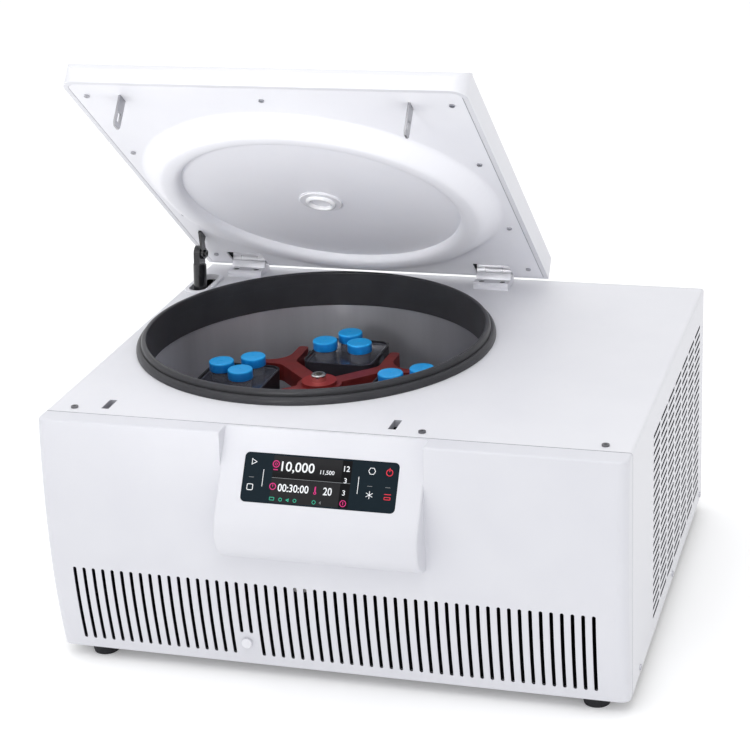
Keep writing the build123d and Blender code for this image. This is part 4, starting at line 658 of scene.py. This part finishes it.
def addTrayRims(settings):
    for turn in range(len(caps["facing"])):
        clearSelection()
        bpy.ops.mesh.primitive_plane_add(size=2 * settings["half"], location=(0, 0, 0))
        piece = bpy.context.object
        piece.name = f"trayRim{turn + 1}"
        bpy.ops.object.mode_set(mode="EDIT")
        bpy.ops.mesh.select_all(action="SELECT")
        bpy.ops.mesh.bevel(offset=settings["corner"], segments=8, affect="VERTICES")
        bpy.ops.mesh.select_all(action="SELECT")
        bpy.ops.mesh.inset(thickness=settings["bead"], depth=0)
        bpy.ops.mesh.delete(type="FACE")
        bpy.ops.mesh.select_all(action="SELECT")
        bpy.ops.mesh.extrude_region_move(TRANSFORM_OT_translate={"value": (0, 0, settings["height"])})
        bpy.ops.mesh.select_all(action="SELECT")
        bpy.ops.mesh.normals_make_consistent(inside=False)
        bpy.ops.object.mode_set(mode="OBJECT")
        heading = math.radians(caps["firstHeading"] + 90 * turn)
        away = Vector((math.cos(heading), math.sin(heading), 0))
        centre = Vector((chamber["x"], chamber["y"], settings["top"])) + caps["circle"] * away
        placePiece(piece, Matrix.Translation(centre) @ Matrix.Rotation(heading, 4, "Z"))
        dressPiece(piece, "trayRimHighlight", f"swing_bucket_{turn + 1}")


addTrayRims(trayRim)
print("tray rims")

# hinge fairings: a ramp behind the screws of each block, and a leaf over the arms of the lid
hingeFairing = {
    "places": (-0.2935, 0.0735),
    "width": 0.050,
    "blockTop": 0.343,
    "rampFront": 0.2905,
    "rampBack": 0.2961,
    "rampTop": 0.3522,
    "rampEdge": 0.0004,
    "rampTip": 0.0008,
    "lift": 0.00005,
    "leafThickness": 0.0006,
    "leafOutline": ((-0.0088, 0.0002), (-0.0098, 0.0038), (-0.0124, 0.0066), (-0.0165, 0.0089), (-0.0225, 0.0115)),
}


def addHingeRamp(settings, x):
    clearSelection()
    bpy.ops.mesh.primitive_plane_add(size=1, location=(0, 0, 0))
    piece = bpy.context.object
    piece.name = "hingeRamp"
    depth = settings["rampBack"] - settings["rampFront"]
    rise = settings["rampTop"] - settings["blockTop"]
    piece.scale = (settings["width"], depth, 1)
    bpy.ops.object.transform_apply(location=False, rotation=False, scale=True)
    bpy.ops.object.mode_set(mode="EDIT")
    bpy.ops.mesh.select_all(action="SELECT")
    bpy.ops.mesh.extrude_region_move(TRANSFORM_OT_translate={"value": (0, 0, rise)})
    bpy.ops.object.mode_set(mode="OBJECT")
    for corner in piece.data.vertices:
        corner.select = corner.co.z > rise / 2 and corner.co.y < 0
    bpy.ops.object.mode_set(mode="EDIT")
    bpy.ops.mesh.select_mode(type="VERT")
    bpy.ops.transform.translate(value=(0, depth - settings["rampTip"], 0))
    bpy.ops.mesh.select_all(action="SELECT")
    bpy.ops.mesh.bevel(offset=settings["rampEdge"], segments=2, affect="EDGES")
    bpy.ops.mesh.select_all(action="SELECT")
    bpy.ops.mesh.normals_make_consistent(inside=False)
    bpy.ops.object.mode_set(mode="OBJECT")
    bpy.ops.object.shade_smooth_by_angle(angle=math.radians(32))
    middle = (settings["rampFront"] + settings["rampBack"]) / 2
    placePiece(piece, Matrix.Translation((x, middle, settings["blockTop"] + settings["lift"])))
    return piece


def addHingeLeaf(settings, x):
    clearSelection()
    bpy.ops.mesh.primitive_plane_add(size=0.001, location=(0, 0, 0))
    piece = bpy.context.object
    piece.name = "hingeLeaf"
    outline = settings["leafOutline"]
    bpy.ops.object.mode_set(mode="EDIT")
    bpy.ops.mesh.select_all(action="SELECT")
    bpy.ops.mesh.merge(type="CENTER")
    bpy.ops.transform.translate(value=(-settings["width"] / 2, outline[0][0], outline[0][1]))
    for here, there in zip(outline, outline[1:]):
        bpy.ops.mesh.extrude_region_move(
            TRANSFORM_OT_translate={"value": (0, there[0] - here[0], there[1] - here[1])}
        )
    bpy.ops.mesh.select_all(action="SELECT")
    bpy.ops.mesh.extrude_region_move(TRANSFORM_OT_translate={"value": (settings["width"], 0, 0)})
    bpy.ops.mesh.select_all(action="SELECT")
    bpy.ops.mesh.normals_make_consistent(inside=False)
    bpy.ops.object.mode_set(mode="OBJECT")
    wall = piece.modifiers.new("leafWall", "SOLIDIFY")
    wall.thickness = settings["leafThickness"]
    bpy.ops.object.modifier_apply(modifier="leafWall")
    bpy.ops.object.shade_smooth_by_angle(angle=math.radians(40))
    opened = Matrix.Rotation(-math.radians(hinge["open"]), 4, "X")
    placePiece(piece, Matrix.Translation((x, hinge["y"], hinge["z"])) @ opened)
    return piece


def addHingeFairings(settings):
    for side, x in zip(("Left", "Right"), settings["places"]):
        ramp = addHingeRamp(settings, x)
        ramp.name = f"hingeRamp{side}"
        dressPiece(ramp, "hingeAluminium", "base")
        leaf = addHingeLeaf(settings, x)
        leaf.name = f"hingeLeaf{side}"
        dressPiece(leaf, "hingeAluminium", "lid")


addHingeFairings(hingeFairing)
print("hinge fairings")

# grey sleeves that line the two latch slots of the cover
sleeves = {
    "places": (-0.293, 0.075),
    "y": -0.2236,
    "width": 0.0099,
    "length": 0.0288,
    "depth": 0.009,
    "wall": 0.0003,
    "sink": 0.0001,
}


def addSleeves(settings):
    for side, x in zip(("Left", "Right"), settings["places"]):
        clearSelection()
        bpy.ops.mesh.primitive_cube_add(size=1, location=(0, 0, 0))
        piece = bpy.context.object
        piece.name = f"latchSleeve{side}"
        piece.scale = (settings["width"], settings["length"], settings["depth"])
        bpy.ops.object.transform_apply(location=False, rotation=False, scale=True)
        bpy.ops.object.mode_set(mode="EDIT")
        bpy.ops.mesh.select_mode(type="FACE")
        bpy.ops.mesh.select_all(action="DESELECT")
        bpy.ops.object.mode_set(mode="OBJECT")
        for face in piece.data.polygons:
            face.select = abs(face.normal.z) > 0.9
        bpy.ops.object.mode_set(mode="EDIT")
        bpy.ops.mesh.inset(thickness=settings["wall"], depth=0, use_individual=True)
        bpy.ops.mesh.bridge_edge_loops()
        bpy.ops.mesh.select_all(action="SELECT")
        bpy.ops.mesh.normals_make_consistent(inside=False)
        bpy.ops.object.mode_set(mode="OBJECT")
        z = coverTop - settings["depth"] / 2 - settings["sink"]
        placePiece(piece, Matrix.Translation((x, settings["y"], z)))
        dressPiece(piece, "sleevePlastic", "base")


addSleeves(sleeves)
print("latch sleeves")

# bright rim round the lid's clear port
portRim = {"bore": 0.0135, "radius": 0.0205, "crown": 0.0042, "crownSteps": 12, "sink": 0.0015, "steps": 72}


def addPortRim(settings):
    low, high = (Vector(corner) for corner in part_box("lid_port"))
    opened = math.radians(hinge["open"])
    middle = (settings["bore"] + settings["radius"]) / 2
    outline = arcPoints((middle, 0), (settings["bore"] - middle, settings["crown"]), 0, 180, settings["crownSteps"])
    outline += [outline[0]]
    piece = spinOutline("portRim", outline, settings["steps"])
    down = Vector((0, -math.sin(opened), -math.cos(opened)))
    turn = down.to_track_quat("Z", "Y").to_matrix().to_4x4()
    seat = (low + high) / 2 + settings["sink"] * down
    placePiece(piece, Matrix.Translation(seat) @ turn)
    dressPiece(piece, "portRimPlastic", "lid")


addPortRim(portRim)
print("port rim")

# marks on the glass, in parts of its width and height from the top left
glass = {
    "centre": (0, -0.29363, 0.28391),
    "down": (0, -0.5505, -0.8348),
    "out": (0, -0.8348, 0.5505),
    "width": 0.191,
    "height": 0.060,
    "raise": 0.00003,
    "thickness": 0.00012,
}
glassPlane = Matrix.Translation(glass["centre"]) @ Matrix(
    (Vector((1, 0, 0)), -Vector(glass["down"]), Vector(glass["out"]))
).transposed().to_4x4()


def glassSpot(u, v):
    return ((u - 0.5) * glass["width"], (0.5 - v) * glass["height"], glass["raise"])


def thickenMark(piece, name):
    piece.name = name
    selectOnly([piece])
    bpy.ops.object.mode_set(mode="EDIT")
    bpy.ops.mesh.select_all(action="SELECT")
    bpy.ops.mesh.extrude_region_move(TRANSFORM_OT_translate={"value": (0, 0, glass["thickness"])})
    bpy.ops.mesh.select_all(action="SELECT")
    bpy.ops.mesh.normals_make_consistent(inside=False)
    bpy.ops.object.mode_set(mode="OBJECT")
    return piece


def hollowMark(piece, stroke):
    selectOnly([piece])
    bpy.ops.object.mode_set(mode="EDIT")
    bpy.ops.mesh.select_all(action="SELECT")
    bpy.ops.mesh.inset(thickness=stroke, depth=0)
    bpy.ops.mesh.delete(type="FACE")
    bpy.ops.object.mode_set(mode="OBJECT")


def ringMark(name, u, v, radius, stroke, corners=32, turn=0):
    clearSelection()
    facing = (0, 0, math.radians(turn))
    bpy.ops.mesh.primitive_circle_add(
        vertices=corners, radius=radius, fill_type="NGON", location=glassSpot(u, v), rotation=facing
    )
    piece = bpy.context.object
    hollowMark(piece, stroke)
    return thickenMark(piece, name)


def barMark(name, u, v, width, height, corner=0.0, stroke=0.0):
    clearSelection()
    bpy.ops.mesh.primitive_plane_add(size=1, location=glassSpot(u, v))
    piece = bpy.context.object
    piece.scale = (width, height, 1)
    bpy.ops.object.transform_apply(location=False, rotation=False, scale=True)
    if corner:
        bpy.ops.object.mode_set(mode="EDIT")
        bpy.ops.mesh.select_all(action="SELECT")
        bpy.ops.mesh.bevel(offset=corner, segments=4, affect="VERTICES")
        bpy.ops.object.mode_set(mode="OBJECT")
    if stroke:
        hollowMark(piece, stroke)
    return thickenMark(piece, name)


def textMark(name, words, u, v, height, squeeze=1.0):
    clearSelection()
    bpy.ops.object.text_add(location=(0, 0, 0))
    piece = bpy.context.object
    piece.data.body = words
    piece.data.align_x = "CENTER"
    piece.data.align_y = "CENTER"
    piece.data.resolution_u = 3
    piece.data.offset = 0.012
    bpy.ops.object.convert(target="MESH")
    piece = bpy.context.object
    scale = height / piece.dimensions.y
    piece.scale = (scale * squeeze, scale, scale)
    bpy.ops.object.transform_apply(location=False, rotation=False, scale=True)
    bpy.ops.object.origin_set(type="ORIGIN_GEOMETRY", center="BOUNDS")
    piece.location = glassSpot(u, v)
    return thickenMark(piece, name)


def finishMarks(name, pieces, finishName):
    for piece in pieces:
        placePiece(piece, glassPlane @ piece.matrix_world)
    selectOnly(pieces)
    bpy.ops.object.join()
    joined = bpy.context.object
    joined.name = name
    dressPiece(joined, finishName, "base")


def addScreenMarks():
    white = [
        ringMark("startMark", 0.060, 0.19, 0.0046, 0.0007, corners=3, turn=-90),
        barMark("stopMark", 0.054, 0.70, 0.0078, 0.0078, corner=0.0016, stroke=0.0008),
        barMark("leftRule", 0.132, 0.5, 0.0007, 0.0204),
        barMark("rightRule", 0.750, 0.5, 0.0007, 0.0204),
        textMark("speedDigits", "10,000", 0.352, 0.255, 0.0138, 1.0),
        textMark("forceDigits", "11,500", 0.545, 0.305, 0.0058, 1.0),
        textMark("timeDigits", "00:30:00", 0.337, 0.668, 0.0094, 0.87),
        textMark("warmthDigits", "20", 0.560, 0.672, 0.0094, 0.86),
        textMark("riseDigit", "12", 0.668, 0.195, 0.0066),
        textMark("fallDigit", "3", 0.666, 0.430, 0.0064),
        textMark("programDigit", "3", 0.664, 0.672, 0.0064),
        ringMark("programRing", 0.829, 0.20, 0.0046, 0.0007, corners=6, turn=30),
    ]
    for turn in (0, 60, 120):
        flake = barMark("coolMark", 0.828, 0.673, 0.0007, 0.0092)
        flake.rotation_euler = (0, 0, math.radians(turn))
        white.append(flake)
    magenta = [
        ringMark("speedRing", 0.208, 0.205, 0.0044, 0.0011),
        ringMark("speedCore", 0.208, 0.205, 0.0017, 0.0006, corners=16),
        barMark("speedBase", 0.208, 0.318, 0.0056, 0.0012),
        ringMark("timeRing", 0.203, 0.655, 0.0042, 0.0010),
        barMark("timeHand", 0.203, 0.636, 0.0008, 0.0030),
        barMark("warmthStem", 0.480, 0.650, 0.0015, 0.0068, corner=0.0005),
        ringMark("warmthBulb", 0.480, 0.722, 0.0018, 0.0009, corners=16),
        ringMark("runRing", 0.667, 0.883, 0.0040, 0.0009),
        barMark("runBar", 0.667, 0.883, 0.0008, 0.0036),
    ]
    green = [
        barMark("lidIcon", 0.206, 0.900, 0.0062, 0.0040, corner=0.0007, stroke=0.0007),
        ringMark("dropIcon", 0.262, 0.905, 0.0022, 0.0007, corners=16),
        ringMark("imbalanceIcon", 0.310, 0.905, 0.0025, 0.0007, corners=3, turn=-30),
        ringMark("lockIcon", 0.356, 0.905, 0.0022, 0.0007, corners=16),
        ringMark("rotorIcon", 0.480, 0.905, 0.0025, 0.0007, corners=8),
    ]
    grey = [
        barMark("startDash", 0.057, 0.50, 0.0060, 0.0006),
        barMark("programDash", 0.825, 0.50, 0.0060, 0.0006),
        barMark("powerDash", 0.940, 0.50, 0.0060, 0.0006),
        barMark("fieldRule", 0.445, 0.480, 0.0970, 0.0005),
        textMark("rotorDigit", "4", 0.520, 0.905, 0.0038),
    ]
    red = [
        ringMark("powerRing", 0.941, 0.205, 0.0042, 0.0009),
        barMark("powerStem", 0.941, 0.150, 0.0010, 0.0046),
        barMark("openTray", 0.943, 0.715, 0.0080, 0.0036, corner=0.0008, stroke=0.0008),
        barMark("openLid", 0.943, 0.635, 0.0082, 0.0009),
    ]
    finishMarks("screenWhiteMarks", white, "screenWhite")
    finishMarks("screenMagentaMarks", magenta, "screenMagenta")
    finishMarks("screenGreenMarks", green, "screenGreen")
    finishMarks("screenGreyMarks", grey, "screenGrey")
    finishMarks("screenRedMarks", red, "screenRed")


addScreenMarks()
print("screen marks")
